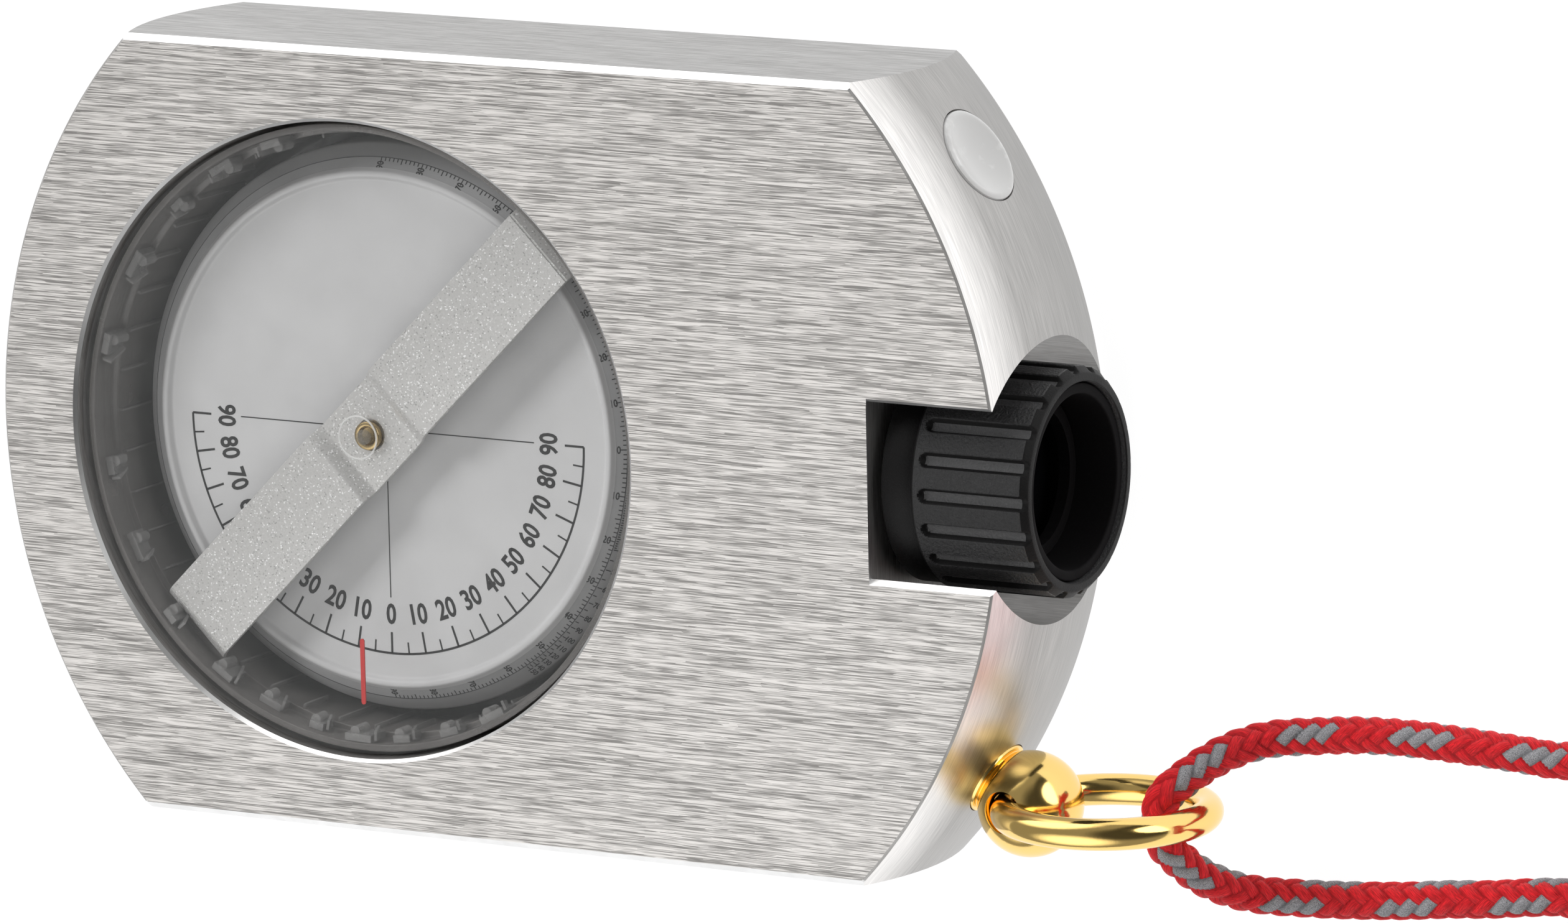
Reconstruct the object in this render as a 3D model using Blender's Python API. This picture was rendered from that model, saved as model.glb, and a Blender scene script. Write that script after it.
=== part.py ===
"""Hand clinometer with a liquid capsule, lying on its back.

Row frame: +X towards the eyepiece, +Y towards the upper long edge, +Z out of the dial.
The origin is on the flat back, at the centre of the round body.
Lengths are in millimetres here and are scaled to metres as each mesh is made.
"""

import math

import bmesh
import bpy
from mathutils import Matrix, Vector

MM = 0.001

# Driving dimensions
THICKNESS = 15.0
HALF_WIDTH = 26.0
RIM_RADIUS = 38.54
FACE_RADIUS = 37.37
EDGE_CHAMFER = 0.5
MID = THICKNESS / 2
GAP = 0.3
FINE_GAP = 0.15

# Capsule, about its own upright axis
CAPSULE_X = -10.66
POCKET_RADIUS = 21.13
POCKET_FLOOR = 1.8
CUP_RADIUS = POCKET_RADIUS - GAP
CUP_WALL = 0.9
CUP_BASE = POCKET_FLOOR + GAP
WINDOW_BASE = 14.0
WINDOW_TOP = 14.9
BOSS_RADIUS = 1.9
FILLER_AT = Vector((-8.5, 9.5, 0))
FILLER_RADIUS = 1.35
INDEX_START = 13.3
INDEX_END = 17.7
INDEX_WIDTH = 0.3

# Drum, its axle and its jewelled bearings
DRUM_RADIUS = 18.95
DRUM_BASE = 5.0
DRUM_SHEET = 0.6
DIAL_TOP = 10.2
DIAL_SHEET = 0.5
DIAL_RADIUS = 16.6
FLARE_TOP_RADIUS = 18.1
FLARE_BASE = 9.05
HUB_RADIUS = 2.0
WEIGHT_SPAN = math.radians(110)
WEIGHT_INNER = 11.5
WEIGHT_THICKNESS = 0.9
AXLE_RADIUS = 0.5
AXLE_POINT = 0.8
SETTING_RADIUS = 0.95
JEWEL_RADIUS = 0.55

# Bridge bar across the capsule
BAR_LENGTH = 39.0
BAR_WIDTH = 5.8
BAR_TOP = 12.8
BAR_SHEET = 0.35
BAR_FOOT = 11.6
BAR_DISH = 0.5
BAR_TURN = math.radians(45)

# Eyepiece, about the optical axis along X
COUNTERBORE_RADIUS = 9.25
COUNTERBORE_FLOOR = 28.0
CHANNEL_RADIUS = 5.3
HAIRLINE_AT = 11.2
BUSH_START = 16.0
BUSH_END = 29.5
BUSH_RADIUS = 5.0
BUSH_BORE = 3.6
TUBE_START = 18.0
TUBE_BORE = 2.4
TUBE_STEP = 31.4
LENS_AT = 33.6
GRIP_START = 28.7
RIBS_START = 31.0
GRIP_END = 39.3
GRIP_RADIUS = 7.45
COLLAR_RADIUS = 7.15
GRIP_BORE = 6.45
EYE_RADIUS = 5.6
GROOVES = 20
GROOVE_PHASE = 0.055
GROOVE_DEPTH = 0.35
GROOVE_WIDTH = 1.1

# Light window on the rim
LIGHT_ANGLE = math.radians(32.5)
LIGHT_RADIUS = 3.2
LIGHT_PLUG = 5.5
LIGHT_WAY_RADIUS = 2.4
LIGHT_WAY_START = 12.5

# Ball stud, lanyard ring and cord
BALL_CENTRE = Vector((35.4, -21.3, MID))
BALL_RADIUS = 3.45
SHANK_RADIUS = 1.5
SHANK_END = -12.0
NECK_RADIUS = 2.2
FLANGE_RADIUS = 2.55
FLANGE_BASE = -3.9
FLANGE_TOP = -2.72
RING_AXIS_X = 34.95
RING_MAJOR = 6.45
RING_WIRE = 1.025
RING_X = 40.9
RING_HOLE = 1.7
CORD_RADIUS = 1.175
COIL_CENTRE = (95.8, -21.3)
COIL_INNER = 7.1
COIL_OUTER = 20.1
KNOT_SHIFT = Vector((-2.6, 0, 2.7))
KNOT_SIZE = (3.4, 2.9, 2.6)

# Steps round each kind of circle
CORD_POINTS = 18
FINE = 96
CAPSULE = 60
ROUND = 36
SMALL = 16

# The two halves of the cord, from inside the ring to the coil
CORD_ROUTE_UPPER = [
    (45.1, -20.3, 8.1),
    (45.4, -19.6, 7.7),
    (46.0, -18.9, 6.8),
    (47.0, -18.0, 5.2),
    (48.2, -17.3, 3.6),
    (50.0, -16.8, 2.2),
    (53.0, -16.5, 1.3),
    (56.0, -16.2, 1.2),
    (59.5, -16.1, 1.2),
    (63.1, -16.2, 1.2),
    (67.1, -16.4, 1.2),
    (70.4, -16.5, 1.2),
    (73.0, -15.4, 1.3),
    (74.9, -13.2, 1.7),
    (76.2, -10.5, 2.3),
]
CORD_ROUTE_LOWER = [
    (45.1, -22.3, 8.1),
    (45.3, -23.0, 7.9),
    (45.7, -23.8, 7.3),
    (46.6, -25.2, 5.9),
    (47.9, -26.3, 4.3),
    (49.4, -26.9, 2.9),
    (51.6, -27.1, 1.9),
    (54.9, -27.05, 1.3),
    (58.95, -26.7, 1.2),
    (62.0, -26.3, 1.2),
    (65.0, -26.0, 1.2),
    (67.8, -25.6, 1.2),
    (70.4, -25.4, 1.2),
    (72.7, -26.2, 1.2),
    (74.5, -28.3, 1.2),
    (75.6, -30.9, 1.2),
]


def clear_scene():
    for obj in list(bpy.data.objects):
        bpy.data.objects.remove(obj, do_unlink=True)


def material(name, colour, roughness, metallic=0.0, alpha=1.0):
    made = bpy.data.materials.new(name)
    made.use_nodes = True
    shader = made.node_tree.nodes["Principled BSDF"]
    shader.inputs["Base Color"].default_value = (*colour, 1.0)
    shader.inputs["Roughness"].default_value = roughness
    shader.inputs["Metallic"].default_value = metallic
    shader.inputs["Alpha"].default_value = alpha
    return made


def empty(name, location, matrix=None):
    """A helper that holds an axis: its local Z is the axis of the pieces under it."""
    made = bpy.data.objects.new(name, None)
    made.matrix_world = Matrix.Translation(Vector(location) * MM) @ (matrix or Matrix())
    bpy.context.scene.collection.objects.link(made)
    return made


def add_object(name, bm, surface, parent=None):
    """Makes the mesh an object, in metres, with its normals facing out."""
    bmesh.ops.recalc_face_normals(bm, faces=bm.faces)
    bmesh.ops.scale(bm, vec=(MM, MM, MM), verts=bm.verts)
    mesh = bpy.data.meshes.new(name)
    bm.to_mesh(mesh)
    bm.free()
    mesh.shade_smooth()
    mesh.set_sharp_from_angle(angle=math.radians(30))
    if surface:
        mesh.materials.append(surface)
    made = bpy.data.objects.new(name, mesh)
    bpy.context.scene.collection.objects.link(made)
    made.parent = parent
    return made


def turned(profile, steps, closed=False, angle=2 * math.pi):
    """Spins a profile of (radius, height) points about Z. An open one starts and ends on the axis."""
    bm = bmesh.new()
    points = [bm.verts.new((radius, 0.0, height)) for radius, height in profile]
    pairs = list(zip(points, points[1:]))
    if closed:
        pairs.append((points[-1], points[0]))
    edges = [bm.edges.new(pair) for pair in pairs]
    whole = abs(angle - 2 * math.pi) < 1e-6
    bmesh.ops.spin(
        bm, geom=points + edges, cent=(0, 0, 0), axis=(0, 0, 1), angle=angle, steps=steps, use_merge=whole
    )
    bmesh.ops.remove_doubles(bm, verts=bm.verts, dist=1e-4)
    if not whole:
        bmesh.ops.holes_fill(bm, edges=[edge for edge in bm.edges if edge.is_boundary])
    return bm


def disc(radius, low, high, steps=ROUND):
    return turned([(0, low), (radius, low), (radius, high), (0, high)], steps)


def block(low, high):
    bm = bmesh.new()
    bmesh.ops.create_cube(bm, size=1.0)
    size = [b - a for a, b in zip(low, high)]
    middle = [(a + b) / 2 for a, b in zip(low, high)]
    bmesh.ops.scale(bm, vec=size, verts=bm.verts)
    bmesh.ops.translate(bm, vec=middle, verts=bm.verts)
    return bm


def prism(outline, low, high):
    """A flat outline of (x, z) points, extruded along Y from low to high."""
    bm = bmesh.new()
    face = bm.faces.new([bm.verts.new((x, low, z)) for x, z in outline])
    grown = bmesh.ops.extrude_face_region(bm, geom=[face])["geom"]
    moved = [item for item in grown if isinstance(item, bmesh.types.BMVert)]
    bmesh.ops.translate(bm, vec=(0, high - low, 0), verts=moved)
    return bm


def cutter(name, bm, parent=None):
    made = add_object(name, bm, None, parent)
    made.hide_render = True
    made.display_type = "WIRE"
    return made


def combine(target, tool, operation="DIFFERENCE"):
    modifier = target.modifiers.new(tool.name, "BOOLEAN")
    modifier.operation = operation
    modifier.solver = "EXACT"
    modifier.object = tool


def radial(angle):
    """Turns local Z to point outwards in the XY plane, at this angle from +X."""
    return Matrix.Rotation(angle, 4, "Z") @ Matrix.Rotation(math.pi / 2, 4, "Y")


def build_housing(aluminium, optical_axis, light_axis, stud_axis):
    """A crowned disc with two flats, bored for the capsule, eyepiece, light window and stud."""
    crown = []
    crown_steps = 4
    for index in range(crown_steps + 1):
        share = index / crown_steps
        height = EDGE_CHAMFER + share * (THICKNESS - 2 * EDGE_CHAMFER)
        bulge = 1 - ((height - MID) / MID) ** 2
        crown.append((FACE_RADIUS + (RIM_RADIUS - FACE_RADIUS) * bulge, height))
    edge = FACE_RADIUS - EDGE_CHAMFER
    profile = [(0, 0), (edge, 0)] + crown + [(edge, THICKNESS), (0, THICKNESS)]
    housing = add_object("housing", turned(profile, FINE), aluminium)

    reach = RIM_RADIUS + 5
    side = HALF_WIDTH
    bevel = EDGE_CHAMFER
    outline = [
        (-side + bevel, 0), (side - bevel, 0), (side, bevel), (side, THICKNESS - bevel),
        (side - bevel, THICKNESS), (-side + bevel, THICKNESS), (-side, THICKNESS - bevel), (-side, bevel),
    ]
    flats_bm = prism(outline, -reach, reach)
    turn = Matrix.Rotation(math.pi / 2, 3, "Z")
    bmesh.ops.rotate(flats_bm, cent=(0, 0, 0), matrix=turn, verts=flats_bm.verts)
    flats = cutter("cut_flats", flats_bm)
    combine(housing, flats, "INTERSECT")

    lip = 0.35
    over = THICKNESS + 1
    pocket_profile = [
        (0, POCKET_FLOOR), (POCKET_RADIUS, POCKET_FLOOR), (POCKET_RADIUS, THICKNESS - lip),
        (POCKET_RADIUS + lip + 1, over), (0, over),
    ]
    pocket_bm = turned(pocket_profile, FINE)
    bmesh.ops.translate(pocket_bm, vec=(CAPSULE_X, 0, 0), verts=pocket_bm.verts)
    combine(housing, cutter("cut_pocket", pocket_bm))

    counterbore = disc(COUNTERBORE_RADIUS, COUNTERBORE_FLOOR, RIM_RADIUS + 10, CAPSULE)
    combine(housing, cutter("cut_counterbore", counterbore, optical_axis))
    channel = disc(CHANNEL_RADIUS, 0, COUNTERBORE_FLOOR + 1, ROUND)
    combine(housing, cutter("cut_optical_channel", channel, optical_axis))

    plug_end = RIM_RADIUS - 0.5 - LIGHT_PLUG
    socket = LIGHT_RADIUS + GAP
    past_rim = RIM_RADIUS + 3
    light_way = [
        (0, LIGHT_WAY_START), (LIGHT_WAY_RADIUS, LIGHT_WAY_START), (LIGHT_WAY_RADIUS, plug_end),
        (socket, plug_end), (socket, past_rim), (0, past_rim),
    ]
    combine(housing, cutter("cut_light_way", turned(light_way, ROUND), light_axis))

    shank_hole = SHANK_RADIUS + GAP
    seat = FLANGE_RADIUS + GAP + 0.05
    seat_floor = FLANGE_BASE - GAP
    past_ball = 2
    stud_seat = [
        (0, SHANK_END - 1), (shank_hole, SHANK_END - 1), (shank_hole, seat_floor),
        (seat, seat_floor), (seat, past_ball), (0, past_ball),
    ]
    combine(housing, cutter("cut_stud_seat", turned(stud_seat, ROUND), stud_axis))
    return housing


def build_capsule(looks, axis):
    """The sealed cup with its filler plug, the window with its boss, and the red index line."""
    inner = CUP_RADIUS - CUP_WALL
    floor = CUP_BASE + CUP_WALL
    wall_top = WINDOW_BASE - FINE_GAP
    boss_top = floor + 1.4
    boss_outer = 2.6
    cup_profile = [
        (0, CUP_BASE), (CUP_RADIUS, CUP_BASE), (CUP_RADIUS, wall_top), (inner, wall_top),
        (inner, floor), (boss_outer, floor), (boss_outer, boss_top), (BOSS_RADIUS, boss_top),
        (BOSS_RADIUS, floor), (0, floor),
    ]
    cup = add_object("capsule_cup", turned(cup_profile, CAPSULE), looks["clear"], axis)
    plug_hole = disc(FILLER_RADIUS + FINE_GAP, CUP_BASE - 1, floor + 1, SMALL)
    bmesh.ops.translate(plug_hole, vec=FILLER_AT, verts=plug_hole.verts)
    combine(cup, cutter("cut_filler_hole", plug_hole, axis))
    plug_top = floor + 0.8
    plug_profile = [
        (0, CUP_BASE), (FILLER_RADIUS, CUP_BASE), (FILLER_RADIUS, plug_top - 0.4),
        (FILLER_RADIUS - 0.45, plug_top), (0, plug_top),
    ]
    plug = turned(plug_profile, SMALL)
    bmesh.ops.translate(plug, vec=FILLER_AT, verts=plug.verts)
    add_object("filler_plug", plug, looks["black"], axis)

    hole = SETTING_RADIUS + FINE_GAP
    boss_base = BAR_TOP - BAR_SHEET
    window_profile = [
        (0, WINDOW_TOP), (CUP_RADIUS - GAP, WINDOW_TOP), (CUP_RADIUS, WINDOW_TOP - GAP),
        (CUP_RADIUS, WINDOW_BASE), (BOSS_RADIUS, WINDOW_BASE), (BOSS_RADIUS, boss_base),
        (hole, boss_base), (hole, WINDOW_BASE), (0, WINDOW_BASE),
    ]
    add_object("capsule_window", turned(window_profile, CAPSULE), looks["clear"], axis)
    index_top = WINDOW_BASE - 0.1
    half = INDEX_WIDTH / 2
    line = block((-half, -INDEX_END, index_top - 0.15), (half, -INDEX_START, index_top))
    add_object("index_line", line, looks["red"], axis)


def build_bearings(looks, axis):
    """The axle with its two points, and the cup jewels in brass settings that hold them."""
    rear = CUP_BASE + CUP_WALL + FINE_GAP
    cup_seat = rear + 0.75
    rear_profile = [
        (0, rear), (1.6, rear), (1.6, rear + 1.7), (1.05, rear + 1.7), (1.05, rear + 0.6), (0, rear + 0.6),
    ]
    add_object("rear_setting", turned(rear_profile, SMALL), looks["brass"], axis)
    jewel_top = cup_seat + 0.8
    dimple = cup_seat + 0.4
    rear_jewel = [(0, cup_seat), (0.9, cup_seat), (0.9, jewel_top), (JEWEL_RADIUS, jewel_top), (0, dimple)]
    add_object("rear_jewel", turned(rear_jewel, SMALL), looks["jewel"], axis)

    front = BAR_TOP - 0.1
    recess = front - 0.6
    skirt = 0.7
    front_profile = [
        (0, front), (SETTING_RADIUS, front), (SETTING_RADIUS, front - 1.8),
        (skirt, front - 1.8), (skirt, recess), (0, recess),
    ]
    add_object("front_setting", turned(front_profile, SMALL), looks["brass"], axis)
    top = recess - FINE_GAP
    low = top - 0.75
    front_jewel = [(0, top), (JEWEL_RADIUS, top), (JEWEL_RADIUS, low), (0.4, low), (0, top - 0.35)]
    add_object("front_jewel", turned(front_jewel, SMALL), looks["jewel"], axis)

    tip = cup_seat + 0.55
    head = top - 0.5
    axle = [(0, tip), (AXLE_RADIUS, tip + AXLE_POINT), (AXLE_RADIUS, head - AXLE_POINT), (0, head)]
    add_object("drum_axle", turned(axle, SMALL), looks["steel"], axis)


def build_drum(looks, axis):
    """The light dial cup that turns on the axle, with its weight under the zero mark."""
    under = DIAL_TOP - DIAL_SHEET
    inner = DRUM_RADIUS - DRUM_SHEET
    hub_hole = AXLE_RADIUS + FINE_GAP
    hub_top = DIAL_TOP + 0.35
    hub_base = under - 1.6
    lip_top = DIAL_TOP + 0.3
    profile = [
        (hub_hole, hub_top), (HUB_RADIUS - 0.3, hub_top), (HUB_RADIUS, DIAL_TOP),
        (DIAL_RADIUS, DIAL_TOP), (DIAL_RADIUS + 0.25, lip_top - 0.04), (DIAL_RADIUS + 0.6, lip_top),
        (DIAL_RADIUS + 0.85, lip_top - 0.1), (FLARE_TOP_RADIUS, DIAL_TOP), (DRUM_RADIUS, FLARE_BASE),
        (DRUM_RADIUS, DRUM_BASE), (inner, DRUM_BASE), (inner, FLARE_BASE - 0.25),
        (FLARE_TOP_RADIUS - DRUM_SHEET, under), (HUB_RADIUS, under), (HUB_RADIUS, hub_base),
        (hub_hole, hub_base),
    ]
    add_object("scale_drum", turned(profile, CAPSULE, closed=True), looks["dial"], axis)

    top = under - GAP
    base = top - WEIGHT_THICKNESS
    section = [(WEIGHT_INNER, base), (DIAL_RADIUS, base), (DIAL_RADIUS, top), (WEIGHT_INNER, top)]
    weight = turned(section, 22, closed=True, angle=WEIGHT_SPAN)
    turn = Matrix.Rotation(-math.pi / 2 - WEIGHT_SPAN / 2, 3, "Z")
    bmesh.ops.rotate(weight, cent=(0, 0, 0), matrix=turn, verts=weight.verts)
    add_object("drum_weight", weight, looks["brass"], axis)


def build_bar(looks, axis):
    """A bright metal strip across the capsule, dished at the pivot and turned down at both ends."""
    half = BAR_LENGTH / 2
    under = BAR_TOP - BAR_SHEET
    dish = BAR_TOP - BAR_DISH
    dish_radius = 2.6
    slope = 1.0
    upper = [(dish_radius, dish), (dish_radius + slope, BAR_TOP), (half, BAR_TOP), (half, BAR_FOOT)]
    lower = [
        (half - BAR_SHEET, BAR_FOOT), (half - BAR_SHEET, under),
        (dish_radius + slope + FINE_GAP, under), (dish_radius + FINE_GAP, dish - BAR_SHEET),
    ]
    right = upper + lower
    outline = right + [(-x, z) for x, z in reversed(lower)] + [(-x, z) for x, z in reversed(upper)]
    bar = prism(outline, -BAR_WIDTH / 2, BAR_WIDTH / 2)
    bmesh.ops.rotate(bar, cent=(0, 0, 0), matrix=Matrix.Rotation(BAR_TURN, 3, "Z"), verts=bar.verts)
    made = add_object("bridge_bar", bar, looks["silver"], axis)
    hole = disc(SETTING_RADIUS + FINE_GAP, dish - 1, BAR_TOP + 1, SMALL)
    combine(made, cutter("cut_bar_hole", hole, axis))


def lens(radius, edge_low, edge_high, bulge, steps=3):
    """A biconvex lens as a turned profile."""
    back = []
    front = []
    for index in range(steps + 1):
        share = index / steps
        sag = bulge * (1 - share**2)
        back.append((radius * share, edge_low - sag))
        front.append((radius * share, edge_high + sag))
    return turned(back + list(reversed(front)), ROUND)


def build_sighting_parts(looks, axis):
    """The fixed bush, the hairline on its clear disc, and the O-ring that drags on the grip."""
    disc_end = HAIRLINE_AT + 0.8
    add_object("hairline_disc", disc(BUSH_RADIUS, HAIRLINE_AT, disc_end), looks["clear"], axis)
    hair_at = disc_end + FINE_GAP
    hair = block((-0.06, -4.7, hair_at), (0.06, 4.7, hair_at + 0.15))
    add_object("hair_line", hair, looks["black"], axis)
    bush = [
        (BUSH_BORE, BUSH_START), (BUSH_RADIUS, BUSH_START), (BUSH_RADIUS, BUSH_END), (BUSH_BORE, BUSH_END),
    ]
    add_object("eyepiece_bush", turned(bush, ROUND, closed=True), looks["black"], axis)

    middle = (BUSH_RADIUS + GRIP_BORE) / 2
    thick = (GRIP_BORE - BUSH_RADIUS) / 2 - FINE_GAP
    sides = 6
    section = []
    for index in range(sides):
        angle = 2 * math.pi * index / sides
        section.append((middle + thick * math.cos(angle), GRIP_START + 0.1 + thick * math.sin(angle)))
    add_object("focus_o_ring", turned(section, ROUND, closed=True), looks["rubber"], axis)


def build_focus(looks, axis):
    """The tube that slides to focus, with its lens and the ring that keeps it."""
    outer = GRIP_BORE - FINE_GAP
    neck = BUSH_BORE - GAP
    lip = GRIP_END - 0.35
    tube = [
        (TUBE_BORE, TUBE_START), (neck, TUBE_START), (neck, TUBE_STEP), (outer, TUBE_STEP), (outer, lip),
        (EYE_RADIUS, lip), (EYE_RADIUS, TUBE_STEP + 1), (TUBE_BORE, TUBE_STEP + 1),
    ]
    add_object("focus_tube", turned(tube, ROUND, closed=True), looks["black"], axis)
    seat = EYE_RADIUS - GAP
    lens_edge = 0.6
    lens_bulge = 0.7
    add_object("eye_lens", lens(seat, LENS_AT, LENS_AT + lens_edge, lens_bulge), looks["clear"], axis)
    low = LENS_AT + 1.8
    high = low + 0.8
    keeper = [(seat - 0.8, low), (seat, low), (seat, high), (seat - 0.8, high)]
    add_object("lens_ring", turned(keeper, ROUND, closed=True), looks["black"], axis)


def build_grip(looks, axis):
    """The knurled ring that the user turns, with a smooth collar next to the housing."""
    profile = [
        (GRIP_BORE, GRIP_START), (COLLAR_RADIUS, GRIP_START), (COLLAR_RADIUS, RIBS_START),
        (GRIP_RADIUS, RIBS_START + 0.2), (GRIP_RADIUS, GRIP_END - 0.4), (GRIP_RADIUS - 0.4, GRIP_END),
        (GRIP_BORE, GRIP_END),
    ]
    grip = add_object("focus_grip", turned(profile, 3 * GROOVES, closed=True), looks["black"], axis)
    grooves = bmesh.new()
    half = GROOVE_WIDTH / 2
    for index in range(GROOVES):
        floor = GRIP_RADIUS - GROOVE_DEPTH
        groove = block((floor, -half, RIBS_START + 0.7), (GRIP_RADIUS + 1, half, GRIP_END + 1))
        turn = Matrix.Rotation(2 * math.pi * (index + GROOVE_PHASE) / GROOVES, 3, "Z")
        bmesh.ops.rotate(groove, cent=(0, 0, 0), matrix=turn, verts=groove.verts)
        copy = bpy.data.meshes.new("groove")
        groove.to_mesh(copy)
        groove.free()
        grooves.from_mesh(copy)
        bpy.data.meshes.remove(copy)
    combine(grip, cutter("cut_grooves", grooves, axis))


def build_light_window(looks, axis):
    """A milky plug in the rim, slightly domed."""
    rim = RIM_RADIUS - 0.1
    sag = 0.35
    dome_steps = 5
    profile = [(0, rim - LIGHT_PLUG), (LIGHT_RADIUS, rim - LIGHT_PLUG), (LIGHT_RADIUS, rim - sag - 0.25)]
    for index in range(dome_steps):
        share = 1 - index / (dome_steps - 1)
        profile.append((LIGHT_RADIUS * share * 0.95, rim - sag * share**2))
    add_object("light_window", turned(profile, ROUND), looks["milky"], axis)


def build_stud(looks, axis):
    """A ball on a shank, drilled along Z for the lanyard ring."""
    start = math.acos(NECK_RADIUS / BALL_RADIUS)
    profile = [
        (0, SHANK_END), (SHANK_RADIUS, SHANK_END), (SHANK_RADIUS, FLANGE_BASE), (FLANGE_RADIUS, FLANGE_BASE),
        (FLANGE_RADIUS, FLANGE_TOP), (NECK_RADIUS, FLANGE_TOP),
    ]
    steps = 9
    for index in range(steps):
        angle = -start + (math.pi / 2 + start) * index / steps
        profile.append((BALL_RADIUS * math.cos(angle), BALL_RADIUS * math.sin(angle)))
    profile.append((0, BALL_RADIUS))
    stud = add_object("ball_stud", turned(profile, 24), looks["gold"], axis)
    hole = disc(RING_HOLE, -1, THICKNESS + 1, SMALL)
    bmesh.ops.translate(hole, vec=(RING_AXIS_X, BALL_CENTRE.y, 0), verts=hole.verts)
    combine(stud, cutter("cut_ring_hole", hole))


def build_ring(looks, axis):
    """The round wire ring, standing in the XZ plane."""
    sides = 10
    section = []
    for index in range(sides):
        angle = 2 * math.pi * index / sides
        section.append((RING_MAJOR + RING_WIRE * math.cos(angle), RING_WIRE * math.sin(angle)))
    ring = turned(section, ROUND, closed=True)
    bmesh.ops.rotate(ring, cent=(0, 0, 0), matrix=Matrix.Rotation(math.pi / 2, 3, "X"), verts=ring.verts)
    bmesh.ops.translate(ring, vec=(RING_X - RING_AXIS_X, 0, 0), verts=ring.verts)
    add_object("lanyard_ring", ring, looks["gold"], axis)


def smooth_route(points, count):
    """Points at equal steps along a Catmull-Rom curve through the route's own points."""
    route = [Vector(point) for point in points]
    padded = [2 * route[0] - route[1]] + route + [2 * route[-1] - route[-2]]
    dense = []
    parts = 12
    for index in range(len(route) - 1):
        a, b, c, d = padded[index : index + 4]
        for step in range(parts):
            t = step / parts
            square = (2 * a - 5 * b + 4 * c - d) * t**2
            cube = (3 * b - a - 3 * c + d) * t**3
            dense.append(0.5 * (2 * b + (c - a) * t + square + cube))
    dense.append(route[-1])
    travelled = [0.0]
    for a, b in zip(dense, dense[1:]):
        travelled.append(travelled[-1] + (b - a).length)
    spaced = []
    index = 0
    for step in range(count):
        wanted = travelled[-1] * step / (count - 1)
        while index < len(dense) - 2 and travelled[index + 1] < wanted:
            index += 1
        share = (wanted - travelled[index]) / (travelled[index + 1] - travelled[index])
        spaced.append(dense[index].lerp(dense[index + 1], share))
    return spaced


def build_cord_run(name, route, looks, axis):
    """One half of the cord as a plain tube, from the ring to the coil."""
    points = smooth_route(route, CORD_POINTS)
    curve = bpy.data.curves.new(name, "CURVE")
    curve.dimensions = "3D"
    curve.bevel_depth = CORD_RADIUS * MM
    curve.bevel_resolution = 2
    curve.use_fill_caps = True
    spline = curve.splines.new("POLY")
    spline.points.add(len(points) - 1)
    shift = axis.matrix_world.translation
    for point, place in zip(spline.points, points):
        point.co = (*(place * MM - shift), 1.0)
    curve.materials.append(looks["cord"])
    made = bpy.data.objects.new(name, curve)
    bpy.context.scene.collection.objects.link(made)
    made.parent = axis


def build_cord(looks, axis):
    """Both halves, the flat coil of two layers that they end in, and the knot at its centre."""
    build_cord_run("cord_upper", CORD_ROUTE_UPPER, looks, axis)
    build_cord_run("cord_lower", CORD_ROUTE_LOWER, looks, axis)
    top = 4 * CORD_RADIUS
    base = 0.02
    corner = 0.6
    profile = [
        (COIL_INNER, base + corner), (COIL_INNER + corner, base), (COIL_OUTER - corner, base),
        (COIL_OUTER, base + corner), (COIL_OUTER, top - corner), (COIL_OUTER - corner, top),
        (COIL_INNER + corner, top), (COIL_INNER, top - corner),
    ]
    place = Vector((COIL_CENTRE[0] - RING_AXIS_X, COIL_CENTRE[1] - BALL_CENTRE.y, 0))
    coil = turned(profile, ROUND, closed=True)
    bmesh.ops.translate(coil, vec=place, verts=coil.verts)
    add_object("cord_coil", coil, looks["cord"], axis)

    knot = bmesh.new()
    bmesh.ops.create_icosphere(knot, subdivisions=2, radius=1.0)
    bmesh.ops.scale(knot, vec=KNOT_SIZE, verts=knot.verts)
    bmesh.ops.translate(knot, vec=place + KNOT_SHIFT, verts=knot.verts)
    add_object("cord_knot", knot, looks["cord"], axis)


def make_looks():
    return {
        "aluminium": material("aluminium", (0.62, 0.61, 0.60), 0.35, 1.0),
        "clear": material("clear_plastic", (0.85, 0.88, 0.88), 0.05, 0.0, 0.3),
        "dial": material("dial_grey", (0.55, 0.55, 0.55), 0.45),
        "silver": material("silver_paint", (0.6, 0.6, 0.59), 0.4, 0.5),
        "brass": material("brass", (0.7, 0.52, 0.25), 0.3, 1.0),
        "jewel": material("jewel", (0.7, 0.1, 0.2), 0.1),
        "steel": material("steel", (0.6, 0.6, 0.62), 0.25, 1.0),
        "black": material("black_plastic", (0.02, 0.02, 0.02), 0.45),
        "rubber": material("rubber", (0.03, 0.03, 0.03), 0.8),
        "milky": material("milky_plastic", (0.85, 0.87, 0.88), 0.2),
        "gold": material("gold_plate", (0.85, 0.6, 0.2), 0.12, 1.0),
        "red": material("red_paint", (0.7, 0.08, 0.05), 0.5),
        "cord": material("red_cord", (0.75, 0.05, 0.05), 0.8),
    }


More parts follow.
